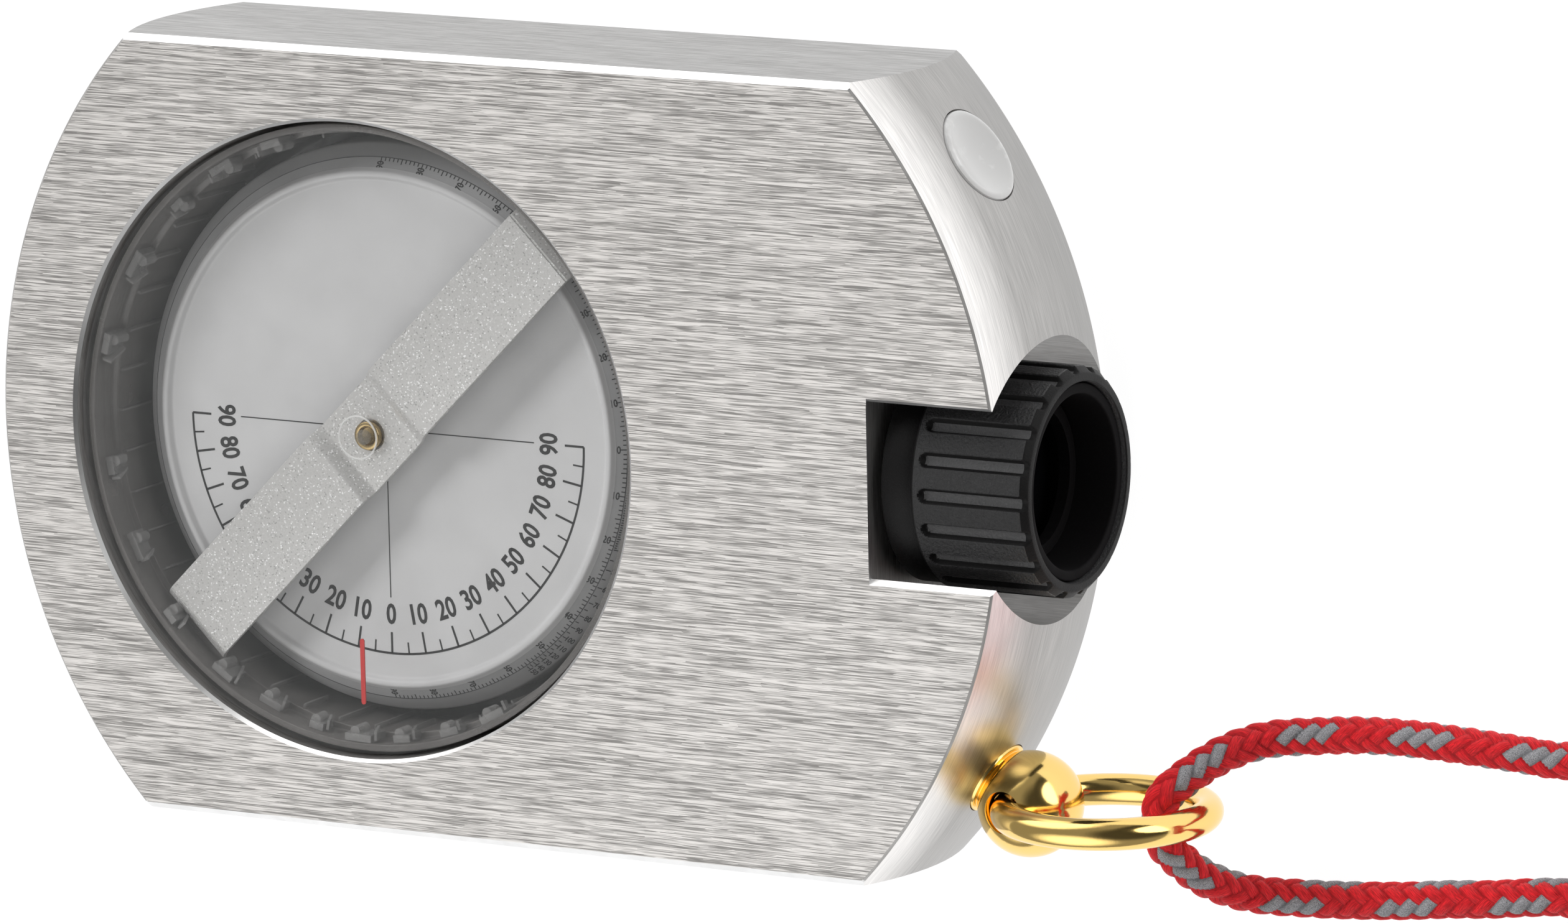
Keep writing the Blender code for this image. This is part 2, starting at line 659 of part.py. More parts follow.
def main():
    clear_scene()
    looks = make_looks()
    stud_angle = math.atan2(BALL_CENTRE.y, BALL_CENTRE.x)
    capsule_axis = empty("capsule_axis", (CAPSULE_X, 0, 0))
    drum_axis = empty("drum_axis", (CAPSULE_X, 0, 0))
    optical_axis = empty("optical_axis", (0, 0, MID), radial(0))
    focus_axis = empty("focus_axis", (0, 0, MID), radial(0))
    light_axis = empty("light_axis", (0, 0, MID), radial(LIGHT_ANGLE))
    stud_axis = empty("stud_axis", BALL_CENTRE, radial(stud_angle))
    ring_axis = empty("ring_axis", (RING_AXIS_X, BALL_CENTRE.y, MID))
    cord_axis = empty("cord_axis", (RING_AXIS_X, BALL_CENTRE.y, 0))
    bpy.context.view_layer.update()

    build_housing(looks["aluminium"], optical_axis, light_axis, stud_axis)
    build_capsule(looks, capsule_axis)
    build_bearings(looks, drum_axis)
    build_drum(looks, drum_axis)
    build_bar(looks, capsule_axis)
    build_sighting_parts(looks, optical_axis)
    build_focus(looks, focus_axis)
    build_grip(looks, focus_axis)
    build_light_window(looks, light_axis)
    build_stud(looks, stud_axis)
    build_ring(looks, ring_axis)
    build_cord(looks, cord_axis)


main()
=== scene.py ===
"""Looks of a hand clinometer: brushed body, liquid capsule, eyepiece, gold ring and a braided cord.

Every piece is built in millimetres in the part's own frame and turned into metres as its mesh is made.
"""

import functools
import math

import bmesh
import bpy
import numpy as np
from mathutils import Matrix, Vector


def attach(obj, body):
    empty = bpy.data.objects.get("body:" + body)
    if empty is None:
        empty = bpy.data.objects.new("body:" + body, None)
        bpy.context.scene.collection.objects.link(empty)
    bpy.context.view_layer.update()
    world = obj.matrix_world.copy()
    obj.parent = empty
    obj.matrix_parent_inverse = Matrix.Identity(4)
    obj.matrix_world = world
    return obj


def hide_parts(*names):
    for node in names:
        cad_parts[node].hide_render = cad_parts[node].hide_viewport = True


MM = 0.001
TAU = 2 * math.pi

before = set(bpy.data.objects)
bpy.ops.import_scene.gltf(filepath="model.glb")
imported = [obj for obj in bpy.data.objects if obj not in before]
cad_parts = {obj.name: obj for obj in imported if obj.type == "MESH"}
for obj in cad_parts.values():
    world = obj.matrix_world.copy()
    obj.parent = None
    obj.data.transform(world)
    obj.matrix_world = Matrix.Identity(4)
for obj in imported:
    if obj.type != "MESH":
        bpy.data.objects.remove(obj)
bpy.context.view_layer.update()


# ---------------------------------------------------------------- sizes, in millimetres

THICKNESS = 15.0
MID = THICKNESS / 2
HALF_WIDTH = 26.0
RIM_RADIUS = 38.54
FACE_RADIUS = 37.37
FLAT_CHAMFER = 0.42
RIM_CHAMFER = 0.12

CAPSULE_X = -10.66
POCKET_RADIUS = 21.13
POCKET_FLOOR = 1.8
POCKET_LIP = 0.22
CUP_RADIUS = 20.83
CUP_BASE = 2.1
CUP_STEP = 11.7
WINDOW_BASE = 14.0
WINDOW_TOP = 14.9
BOSS_RADIUS = 1.9

DRUM_RADIUS = 18.95
DRUM_BASE = 5.0
DIAL_TOP = 10.2
DIAL_RADIUS = 16.6
BRIM_START = 17.42
BRIM_SLOPE = math.radians(30)
FLARE_TOP_RADIUS = 18.1
FLARE_BASE = 9.05
HUB_RADIUS = 2.0
SCALE_RADIUS = 15.0
FIGURE_RADIUS = 12.35
FIGURE_HEIGHT = 1.42
CROSS_LINE_END = 11.25
BRIM_FIGURE_RADIUS = 17.58
BRIM_FIGURE_HEIGHT = 0.52
PERCENT_FIGURE_HEIGHT = 0.44
MARK_THICKNESS = 0.024
INDEX_START = 13.3
INDEX_END = 17.7
INDEX_HALF_WIDTH = 0.16

BAR_HALF = 19.6
BAR_WIDTH = 5.8
BAR_TOP = 12.8
BAR_SHEET = 0.35
BAR_BEND = 19.05
BAR_DISH = 0.62
BAR_TURN = math.radians(45)
SETTING_RADIUS = 0.95

COUNTERBORE_RADIUS = 9.25
COUNTERBORE_FLOOR = 28.0
CHANNEL_RADIUS = 5.3
GRIP_START = 28.7
RIBS_START = 31.0
GRIP_END = 39.3
GRIP_RADIUS = 7.45
COLLAR_RADIUS = 7.15
GRIP_BORE = 6.45
EYE_RADIUS = 5.6
GROOVES = 20
GROOVE_PHASE = 0.055
GROOVE_HALF_WIDTH = 0.54
GROOVE_DEPTH = 0.45
GROOVE_FLANK = 0.26

LIGHT_ANGLE = math.radians(32.5)
LIGHT_RADIUS = 3.2
LIGHT_PLUG = 5.5

BALL_CENTRE = Vector((35.4, -21.3, MID))
BALL_RADIUS = 3.45
COLLAR_DISC = 2.55
RING_AXIS_X = 34.95
RING_MAJOR = 6.45
RING_WIRE = 1.025
RING_X = 40.9


# ---------------------------------------------------------------- shapes: points and faces

def at(x, y, z):
    """A shift."""
    return Matrix.Translation((x, y, z))


def spun(angle, axis="Z"):
    """A turn about one of the axes, by an angle in radians."""
    return Matrix.Rotation(angle, 4, axis)


def radial(angle):
    """Turns local Z to point outwards in the XY plane, at this angle from +X."""
    return spun(angle) @ spun(math.pi / 2, "Y")


CAPSULE_PLACE = at(CAPSULE_X, 0, 0)
EYEPIECE_PLACE = at(0, 0, MID) @ radial(0)
LIGHT_PLACE = at(0, 0, MID) @ radial(LIGHT_ANGLE)
STUD_PLACE = at(*BALL_CENTRE) @ radial(math.atan2(BALL_CENTRE.y, BALL_CENTRE.x))


def ease(share):
    """A smooth rise from 0 to 1 as the share goes from 0 to 1."""
    return share * share * (3 - 2 * share)


def grid_faces(rows, columns, wrap_rows=False):
    """Quads between the points of a grid, stored row after row, where each row is a closed ring."""
    i = np.arange(rows if wrap_rows else rows - 1)[:, None]
    j = np.arange(columns)[None, :]
    a = i * columns + j
    b = i * columns + (j + 1) % columns
    c = (i + 1) % rows * columns + (j + 1) % columns
    d = (i + 1) % rows * columns + j
    return np.stack([a, b, c, d], axis=-1).reshape(-1, 4).tolist()


def fan_faces(rows, columns):
    """Triangles from a grid's first and last row to two points that are stored after the grid."""
    last = (rows - 1) * columns
    centre = rows * columns
    faces = []
    for j in range(columns):
        k = (j + 1) % columns
        faces.append([centre, k, j])
        faces.append([centre + 1, last + j, last + k])
    return faces


def lathe(profile, steps, closed=False):
    """Turns (radius, height) points about Z.

    An open profile starts and ends on the axis, and runs upwards outside.
    """
    profile = np.asarray(profile, float)
    turned = profile if closed else profile[1:-1]
    angles = np.arange(steps) * TAU / steps
    ring = np.stack([np.cos(angles), np.sin(angles)], axis=1)
    points = np.empty((len(turned), steps, 3))
    points[:, :, :2] = turned[:, 0, None, None] * ring
    points[:, :, 2] = turned[:, 1, None]
    points = points.reshape(-1, 3)
    faces = grid_faces(len(turned), steps, wrap_rows=closed)
    if closed:
        return points, faces
    ends = [[0, 0, profile[0, 1]], [0, 0, profile[-1, 1]]]
    return np.vstack([points, ends]), faces + fan_faces(len(turned), steps)


def swept(sections):
    """A closed solid through sections that have the same number of points each."""
    sections = np.asarray(sections, float)
    rows, columns = sections.shape[:2]
    last = (rows - 1) * columns
    ends = [list(range(columns))[::-1], list(range(last, last + columns))]
    return sections.reshape(-1, 3), ends + grid_faces(rows, columns)


def prism(outline, low, high):
    """A flat outline of (x, y) points, raised along Z from low to high."""
    return swept([[(x, y, z) for x, y in outline] for z in (low, high)])


def block(low, high):
    """A box between two opposite corners."""
    x0, y0, z0 = low
    x1, y1, z1 = high
    return prism([(x0, y0), (x1, y0), (x1, y1), (x0, y1)], z0, z1)


def cylinder(radius, low, high, steps):
    """A round rod about Z."""
    return lathe([(0, low), (radius, low), (radius, high), (0, high)], steps)


def arc(centre, radii, start, end, steps):
    """Points (x, y) on an ellipse, with one at each end."""
    angles = np.linspace(start, end, steps + 1)
    x = centre[0] + radii[0] * np.cos(angles)
    y = centre[1] + radii[1] * np.sin(angles)
    return np.stack([x, y], axis=1).tolist()


def rounded(reach, corners, steps=3):
    """A closed profile whose corners are replaced by curves, from this far on both sides of them.

    A corner is (x, y), or (x, y, its own reach).
    """
    made = []
    for index, (x, y, *own) in enumerate(corners):
        here = Vector((x, y))
        before = Vector(corners[index - 1][:2]) - here
        after = Vector(corners[(index + 1) % len(corners)][:2]) - here
        cut = min(own[0] if own else reach, 0.45 * before.length, 0.45 * after.length)
        if cut < 1e-4:
            made.append(tuple(here))
            continue
        start = here + before.normalized() * cut
        end = here + after.normalized() * cut
        for step in range(steps + 1):
            t = step / steps
            made.append(tuple((1 - t) ** 2 * start + 2 * t * (1 - t) * here + t * t * end))
    return made


def moved(shape, matrix):
    """The shape after a shift or a turn."""
    points, faces = shape
    matrix = np.array(matrix, float)
    return np.asarray(points) @ matrix[:3, :3].T + matrix[:3, 3], faces


def joined(shapes):
    """Several shapes as one."""
    points, faces, base = [], [], 0
    for some_points, some_faces in shapes:
        points.append(np.asarray(some_points, float))
        faces += [[index + base for index in face] for face in some_faces]
        base += len(some_points)
    return np.vstack(points), faces


def catmull_rom(points, parts):
    """A smooth curve through the points, with this many steps between each two."""
    route = np.asarray(points, float)
    padded = np.vstack([2 * route[0] - route[1], route, 2 * route[-1] - route[-2]])
    t = (np.arange(parts) / parts)[:, None]
    made = []
    for index in range(len(route) - 1):
        a, b, c, d = padded[index : index + 4]
        square = (2 * a - 5 * b + 4 * c - d) * t**2
        cube = (3 * b - a - 3 * c + d) * t**3
        made.append(0.5 * (2 * b + (c - a) * t + square + cube))
    return np.vstack(made + [route[-1:]])


def length_of(points):
    """How long the line through the points is."""
    return np.linalg.norm(np.diff(points, axis=0), axis=1).sum()


def respaced(points, spacing):
    """The same curve with points at equal steps, and how far along each one is."""
    lengths = np.linalg.norm(np.diff(points, axis=0), axis=1)
    along = np.concatenate([[0.0], np.cumsum(lengths)])
    count = max(3, round(along[-1] / spacing) + 1)
    wanted = np.linspace(0.0, along[-1], count)
    return np.stack([np.interp(wanted, along, points[:, axis]) for axis in range(3)], axis=1), wanted


def frames_along(points, first_side):
    """Two directions across a curve at each point, which turn as little as they can along it."""
    tangents = np.gradient(points, axis=0)
    tangents /= np.linalg.norm(tangents, axis=1)[:, None]
    side = np.asarray(first_side, float)
    sides = np.empty_like(points)
    for index, tangent in enumerate(tangents):
        side = side - tangent * (side @ tangent)
        side /= np.linalg.norm(side)
        sides[index] = side
    return sides, np.cross(tangents, sides)


# ---------------------------------------------------------------- meshes and objects

def linked(name, data):
    """A new object in the scene that holds the data."""
    made = bpy.data.objects.new(name, data)
    bpy.context.scene.collection.objects.link(made)
    return made


def outward(mesh, weld=0.0):
    """Turns the faces outwards, once points closer than the weld distance are joined."""
    bm = bmesh.new()
    bm.from_mesh(mesh)
    if weld:
        bmesh.ops.remove_doubles(bm, verts=bm.verts, dist=weld)
    bmesh.ops.recalc_face_normals(bm, faces=bm.faces)
    bm.to_mesh(mesh)
    bm.free()


def mesh_of(name, shape, scale=1.0, uv=None):
    """A mesh of the shape, with its faces pointing out."""
    points, faces = shape
    mesh = bpy.data.meshes.new(name)
    mesh.from_pydata((np.asarray(points) * scale).tolist(), [], [list(face) for face in faces])
    if uv is not None:
        layer = mesh.uv_layers.new(name="strands")
        layer.data.foreach_set("uv", np.asarray(uv, np.float32).ravel())
    outward(mesh)
    return mesh


def shape_of(mesh):
    """The points and faces of a mesh."""
    points = np.empty(len(mesh.vertices) * 3)
    mesh.vertices.foreach_get("co", points)
    return points.reshape(-1, 3), [list(polygon.vertices) for polygon in mesh.polygons]


def place(name, shape, material, body, sharp=35.0, uv=None):
    """Makes a mesh piece from a shape in millimetres, and lets it ride on a body."""
    mesh = mesh_of(name, shape, MM, uv)
    mesh.shade_smooth()
    if sharp is not None:
        mesh.set_sharp_from_angle(angle=math.radians(sharp))
    mesh.materials.append(material)
    made = linked(name, mesh)
    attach(made, body)
    return made


def choose_looks(piece, looks, names, choose):
    """Gives each face one of the named looks, from its centre in millimetres and its normal.

    The piece has the first look already.
    """
    for name in names[1:]:
        piece.data.materials.append(looks[name])
    for polygon in piece.data.polygons:
        polygon.material_index = names.index(choose(polygon.center / MM, polygon.normal))


def carved(shape, cuts, within=None):
    """The shape, less the cuts; if another shape is given as within, only what lies inside that."""
    tools = [(cut, "DIFFERENCE") for cut in cuts]
    if within:
        tools.insert(0, (within, "INTERSECT"))
    base = linked("scratch", mesh_of("scratch", shape))
    helpers = []
    for tool, operation in tools:
        helpers.append(linked("scratch", mesh_of("scratch", tool)))
        modifier = base.modifiers.new("cut", "BOOLEAN")
        modifier.operation = operation
        modifier.solver = "EXACT"
        modifier.object = helpers[-1]
    depsgraph = bpy.context.evaluated_depsgraph_get()
    result = shape_of(base.evaluated_get(depsgraph).to_mesh())
    for made in [base] + helpers:
        mesh = made.data
        bpy.data.objects.remove(made, do_unlink=True)
        bpy.data.meshes.remove(mesh)
    return result


@functools.cache
def drawn_figures(text):
    """Raised figures of height 1, centred on the origin, a little narrower than the font has them."""
    narrowing = 0.80
    curve = bpy.data.curves.new("figures", "FONT")
    curve.body = text
    curve.size = 1.0
    curve.extrude = 0.01
    curve.resolution_u = 3
    curve.offset = 0.024
    made = linked("figures", curve)
    bpy.context.view_layer.update()
    mesh = bpy.data.meshes.new_from_object(made.evaluated_get(bpy.context.evaluated_depsgraph_get()))
    outward(mesh, 1e-5)
    points, faces = shape_of(mesh)
    low, high = points.min(axis=0), points.max(axis=0)
    points = (points - (low + high) / 2) / (high[1] - low[1])
    points[:, 0] *= narrowing
    bpy.data.objects.remove(made, do_unlink=True)
    bpy.data.curves.remove(curve)
    bpy.data.meshes.remove(mesh)
    return points, faces


def figures(value, height):
    """The figures of a value, without its sign, at this height and as thick as the printed marks."""
    points, faces = drawn_figures(str(abs(value)))
    scaled = points * height
    scaled[:, 2] = np.sign(points[:, 2]) * MARK_THICKNESS / 2
    return scaled, faces


# ---------------------------------------------------------------- materials

class Nodes:
    """Short calls that build the nodes of one tree."""

    def __init__(self, tree):
        self.tree = tree

    def feed(self, socket, value):
        """Links a node's output to a socket, or sets the socket to a plain value."""
        if isinstance(value, bpy.types.NodeSocket):
            self.tree.links.new(value, socket)
        else:
            socket.default_value = value

    def node(self, kind, inputs, output=0, **settings):
        """Makes a node, and returns one of its outputs."""
        made = self.tree.nodes.new(kind)
        for key, value in settings.items():
            setattr(made, key, value)
        for key, value in inputs.items():
            self.feed(made.inputs[key], value)
        return made.outputs[output]

    def mix(self, factor, a, b):
        """A number between two others."""
        return self.node("ShaderNodeMix", {0: factor, 2: a, 3: b})


class Surface(Nodes):
    """One material, and short calls for what its nodes do."""

    def __init__(self, name, colour=(0.8, 0.8, 0.8), roughness=0.5, metallic=0.0):
        self.material = bpy.data.materials.new(name)
        self.material.use_nodes = True
        super().__init__(self.material.node_tree)
        self.shader = self.tree.nodes["Principled BSDF"]
        self.set("Base Color", (*colour, 1.0))
        self.set("Roughness", roughness)
        self.set("Metallic", metallic)

    def set(self, socket, value):
        """Feeds one of the shader's own sockets."""
        self.feed(self.shader.inputs[socket], value)

    def math(self, operation, a, b=0.0, c=0.0):
        """The result of one operation on numbers."""
        return self.node("ShaderNodeMath", {0: a, 1: b, 2: c}, operation=operation)

    def point(self):
        """The place of the shaded point in the piece's own axes, in metres."""
        return self.node("ShaderNodeTexCoord", {}, output="Object")

    def stretched(self, lengths):
        """Object coordinates divided by a length, or by one along each axis, in millimetres."""
        scale = (1.0 / (np.broadcast_to(lengths, 3) * MM)).tolist()
        return self.node("ShaderNodeMapping", {"Vector": self.point(), "Scale": scale})

    def noise(self, lengths, detail=3.0, roughness=0.55):
        """Clouds between 0 and 1 of about these lengths, in millimetres."""
        vector = self.stretched(lengths)
        inputs = {"Vector": vector, "Scale": 1.0, "Detail": detail, "Roughness": roughness}
        return self.node("ShaderNodeTexNoise", inputs, output="Fac")

    def cells(self, lengths, output):
        """Random cells of about these lengths, in millimetres."""
        inputs = {"Vector": self.stretched(lengths), "Scale": 1.0}
        return self.node("ShaderNodeTexVoronoi", inputs, output=output)

    def chance(self, lengths):
        """A number between 0 and 1 for each random cell."""
        return self.node("ShaderNodeSeparateColor", {"Color": self.cells(lengths, "Color")})

    def ranged(self, value, low, high, to_low=0.0, to_high=1.0):
        """The value, moved from one range to another and kept inside it."""
        inputs = {"Value": value, "From Min": low, "From Max": high, "To Min": to_low, "To Max": to_high}
        return self.node("ShaderNodeMapRange", inputs, clamp=True)

    def blend(self, factor, a, b):
        """A colour between two others."""
        a, b = [part if isinstance(part, bpy.types.NodeSocket) else (*part, 1.0) for part in (a, b)]
        return self.node("ShaderNodeMix", {0: factor, 6: a, 7: b}, output=2, data_type="RGBA")

    def bump(self, height, distance):
        """Bump, with its distance in millimetres."""
        inputs = {"Height": height, "Distance": distance * MM, "Strength": 1.0}
        self.set("Normal", self.node("ShaderNodeBump", inputs))


def streaks(lengths, across, along):
    """Streak lengths times a factor, one for those under a millimetre and another for the long ones."""
    return [length * (across if length < 1 else along) for length in lengths]


def brushed_metal(name, lengths, light, dark, roughness, depth, scratches=0.0):
    """Bare aluminium with streaks of three widths; lengths says how long a streak is along each axis.

    scratches is the share of short, sharp-edged scratches among them.
    """
    made = Surface(name, metallic=1.0)
    dash = made.noise(streaks(lengths, 0.8, 0.4), 1.0)
    fine = made.noise(streaks(lengths, 1.0, 1.1), 1.0)
    broad = made.noise(streaks(lengths, 1.5, 2.4), 2.0)
    cloud = made.noise((9.0, 7.0, 9.0), 2.0)
    streak = made.math("MULTIPLY_ADD", dash, 0.25, made.math("MULTIPLY", broad, 0.23))
    streak = made.math("MULTIPLY_ADD", fine, 0.52, streak)
    mixed = streak
    if scratches:
        scratch = made.chance(streaks(lengths, 1.05, 0.5))
        mixed = made.math("MULTIPLY_ADD", scratch, scratches, made.math("MULTIPLY", streak, 1 - scratches))
    made.set("Base Color", made.blend(made.ranged(mixed, 0.41, 0.58), dark, light))
    rough = made.math("MULTIPLY_ADD", cloud, 0.12, roughness - 0.06)
    made.set("Roughness", made.math("MULTIPLY_ADD", broad, 0.14, rough))
    made.bump(streak, depth)
    return made.material


def turned_rim(lengths):
    """The crowned rim: finer turning marks, painted darker towards the floor side as painted shade and
    lighter towards the dial's side as a painted reflection.
    """
    made = Surface("aluminium_turned_painted_shade", metallic=1.0)
    fine = made.noise(streaks(lengths, 0.9, 1.0), 2.0)
    height = made.math("DIVIDE", made.node("ShaderNodeSeparateXYZ", {0: made.point()}, output=2), MM)
    marks = made.ranged(fine, 0.35, 0.65)
    # Painted shade and painted reflection: darker low on the rim, where it mirrors the shadowed floor
    # beside the body, and a bright band near the dial's side.
    back = made.blend(marks, (0.30, 0.295, 0.288), (0.38, 0.373, 0.365))
    middle = made.blend(marks, (0.38, 0.373, 0.365), (0.50, 0.49, 0.48))
    front = made.blend(marks, (0.80, 0.787, 0.775), (1.0, 0.98, 0.962))
    tone = made.blend(made.ranged(height, 0.5, MID), back, middle)
    made.set("Base Color", made.blend(made.ranged(height, MID + 3.0, THICKNESS - 0.8), tone, front))
    made.set("Roughness", made.math("MULTIPLY_ADD", fine, 0.12, 0.28))
    made.bump(fine, 0.004)
    return made.material


def speckled_paint(name, colour, fleck, size, roughness, metallic):
    """Silver paint with fine flakes, some of them brighter."""
    made = Surface(name, roughness=roughness, metallic=metallic)
    flake = made.chance(size)
    bright = made.ranged(flake, 0.90, 0.99)
    dark = made.ranged(flake, 0.03, 0.07, 1.0, 0.0)
    dull = made.noise(size * 1.2, 3.0)
    ground = made.blend(made.ranged(dull, 0.35, 0.65), [0.90 * part for part in colour], colour)
    ground = made.blend(dark, ground, [0.62 * part for part in colour])
    made.set("Base Color", made.blend(bright, ground, fleck))
    made.bump(dull, 0.012)
    return made.material


def moulded(name, colour, roughness, grain, depth, wear=0.25, specular=0.5):
    """Moulded plastic: a fine grain, with slightly shinier patches."""
    made = Surface(name, colour=colour, roughness=roughness)
    fine = made.noise(grain, 4.0, 0.6)
    patch = made.noise(2.5, 2.0)
    made.set("Roughness", made.math("MULTIPLY_ADD", patch, wear, roughness - wear / 2))
    lighter = [min(1.0, part * 1.5 + 0.004) for part in colour]
    made.set("Base Color", made.blend(made.ranged(fine, 0.55, 0.8), colour, lighter))
    made.set("Specular IOR Level", specular)
    made.bump(fine, depth)
    return made.material


def clear_plastic(name, colour, alpha, roughness=0.04):
    """Clear plastic as a thin see-through gloss, with faint moulding haze."""
    made = Surface(name, colour=colour, roughness=roughness)
    haze = made.noise(3.0, 3.0)
    made.set("Alpha", made.math("MULTIPLY_ADD", haze, alpha * 0.6, alpha * 0.7))
    made.set("Roughness", made.math("MULTIPLY_ADD", haze, 0.06, roughness))
    made.bump(haze, 0.02)
    return made.material


def polished(name, colour, roughness):
    """Polished metal with a trace of polishing marks."""
    made = Surface(name, colour=colour, roughness=roughness, metallic=1.0)
    marks = made.noise(0.5, 4.0, 0.6)
    made.set("Roughness", made.math("MULTIPLY_ADD", marks, 0.07, roughness - 0.02))
    made.bump(marks, 0.004)
    return made.material


def dial_grey(name, shade):
    """Satin grey moulding with faint clouds and a few specks of dust."""
    made = Surface(name, roughness=0.32)
    fine = made.noise(0.12, 3.0)
    patch = made.noise(5.0, 3.0)
    dust = made.ranged(made.cells(1.4, "Distance"), 0.0, 0.035, 0.6, 0.0)
    cloud = made.ranged(patch, 0.35, 0.65)
    tone = made.blend(cloud, (shade, shade, shade + 0.005), (shade + 0.04, shade + 0.04, shade + 0.045))
    made.set("Base Color", made.blend(dust, tone, (0.2, 0.2, 0.2)))
    made.bump(fine, 0.006)
    return made.material


def braid_material():
    """Red polyester braid, one family of strands partly grey; UV holds the turns of both families."""
    made = Surface("red_braid", roughness=0.62)
    made.set("Sheen Weight", 0.05)
    made.set("Sheen Roughness", 0.4)
    made.set("Specular IOR Level", 0.3)
    uv = made.node("ShaderNodeUVMap", {}, uv_map="strands")
    along, around = [made.node("ShaderNodeSeparateXYZ", {0: uv}, output=axis) for axis in (0, 1)]
    p = made.math("ADD", along, around)
    q = made.math("SUBTRACT", along, around)
    p_floor = made.math("FLOOR", p)
    q_floor = made.math("FLOOR", q)
    turn = made.math("FLOORED_MODULO", made.math("SUBTRACT", p_floor, q_floor), 4.0)
    first_on_top = made.math("LESS_THAN", turn, 1.5)
    grey_strand = made.math("LESS_THAN", made.math("FLOORED_MODULO", p_floor, 6.0), 2.5)
    grey = made.math("MULTIPLY", first_on_top, grey_strand)
    # Fibres run along each strand, so the noise is stretched along the one on top.
    across = made.mix(first_on_top, q, p)
    lengthways = made.mix(first_on_top, p, q)
    inputs = {"X": made.math("MULTIPLY", across, 16.0), "Y": made.math("MULTIPLY", lengthways, 1.4)}
    fibre = made.node("ShaderNodeCombineXYZ", inputs)
    inputs = {"Vector": fibre, "Scale": 1.0, "Detail": 3.0, "Roughness": 0.6}
    fibres = made.node("ShaderNodeTexNoise", inputs, output="Fac")
    # Each strand darkens towards its edges: painted shade in the gaps between strands, for the red and the
    # grey ones alike.
    edge = made.math("ABSOLUTE", made.math("SUBTRACT", made.math("FRACT", across), 0.5))
    shade = made.ranged(edge, 0.28, 0.5, 1.0, 0.2)
    tone = made.math("MULTIPLY", made.ranged(fibres, 0.3, 0.7), shade)
    red = made.blend(tone, (0.34, 0.004, 0.008), (1.0, 0.022, 0.032))
    glitter = made.ranged(made.noise(0.05, 2.0), 0.35, 0.7)
    silver = made.blend(made.math("MULTIPLY", glitter, shade), (0.13, 0.13, 0.14), (0.50, 0.50, 0.52))
    made.set("Base Color", made.blend(grey, red, silver))
    made.bump(fibres, 0.03)
    return made.material


def make_looks():
    """Every surface, under a short name."""
    lengthways, round_rim = (3.6, 0.058, 0.058), (3.0, 3.0, 0.075)
    return {
        "face": brushed_metal("aluminium_brushed", lengthways, (0.99, 0.963, 0.938), (0.335, 0.324, 0.314),
                              0.36, 0.006, 0.17),
        # The flats are the face's aluminium painted darker: painted shade for the dim floor they mirror.
        "flat": brushed_metal("aluminium_flat_painted_shade", lengthways, (0.56, 0.555, 0.55), (0.31, 0.305, 0.30),
                              0.40, 0.006, 0.12),
        "rim": turned_rim(round_rim),
        "chamfer": brushed_metal("aluminium_cut", (1.5, 1.5, 1.5), (0.97, 0.97, 0.97), (0.90, 0.90, 0.90),
                                 0.25, 0.002),
        "bore": brushed_metal("aluminium_bored", (2.0, 2.0, 0.1), (0.62, 0.61, 0.60), (0.48, 0.47, 0.46),
                              0.42, 0.006),
        "silver": speckled_paint("silver_paint", (0.57, 0.565, 0.555), (0.92, 0.92, 0.92),
                                 0.085, 0.42, 0.3),
        "dial": dial_grey("dial_grey", 0.54),
        # The brim is the dial's grey painted darker: painted shade, as the sloping brim lies in shade.
        "brim": dial_grey("brim_painted_shade", 0.34),
        "ink": moulded("dial_ink", (0.012, 0.012, 0.013), 0.6, 0.05, 0.002),
        "red": moulded("index_red", (0.52, 0.016, 0.014), 0.5, 0.08, 0.01),
        "window": clear_plastic("clear_window", (0.8, 0.82, 0.82), 0.03, 0.02),
        # The cup's dark grey is painted shade for the dim inside of the capsule; the real cup is clear.
        "cup": clear_plastic("cup_painted_shade", (0.21, 0.199, 0.192), 0.6, 0.12),
        # The hooks' and ribs' light grey is partly a painted highlight, so the clear mouldings show against
        # the dark cup.
        "shard": clear_plastic("clear_moulding_painted_highlight", (0.34, 0.335, 0.33), 0.5, 0.05),
        "brass": polished("turned_brass", (0.50, 0.37, 0.18), 0.26),
        "jewel": clear_plastic("clear_jewel", (0.30, 0.27, 0.22), 0.42, 0.02),
        # A painted highlight: the light ring on the rounded edge of the lid's boss.
        "boss_painted_highlight": clear_plastic("boss_edge_painted_highlight", (0.82, 0.82, 0.81), 0.5, 0.05),
        "ruby": moulded("ruby", (0.45, 0.02, 0.06), 0.1, 0.1, 0.001, 0.04),
        "steel": polished("ground_steel", (0.60, 0.60, 0.62), 0.25),
        "black": moulded("black_plastic", (0.005, 0.0048, 0.005), 0.46, 0.10, 0.03, specular=0.18),
        # The groove floors' lighter colour is a painted highlight; the lands' grain is real, and their
        # colour, lighter than the plain black, is partly a painted highlight.
        "groove": moulded("black_plastic_painted_highlight", (0.07, 0.07, 0.072), 0.34, 0.16, 0.10),
        "grained": moulded("black_plastic_grained_painted_highlight", (0.019, 0.019, 0.020), 0.36, 0.22, 0.18),
        "gloss_black": moulded("black_plastic_smooth", (0.012, 0.012, 0.013), 0.3, 0.16, 0.012),
        "matte_black": moulded("black_lacquer", (0.006, 0.0055, 0.006), 0.75, 0.1, 0.004, specular=0.08),
        "rubber": moulded("black_rubber", (0.02, 0.02, 0.02), 0.75, 0.12, 0.01),
        "glass": clear_plastic("lens_glass", (0.015, 0.016, 0.02), 0.16, 0.03),
        "milky": moulded("milky_plastic", (0.68, 0.68, 0.675), 0.14, 2.5, 0.002, 0.04),
        "gold": polished("gold_plate", (1.0, 0.70, 0.24), 0.11),
        "braid": braid_material(),
    }


# ---------------------------------------------------------------- cord

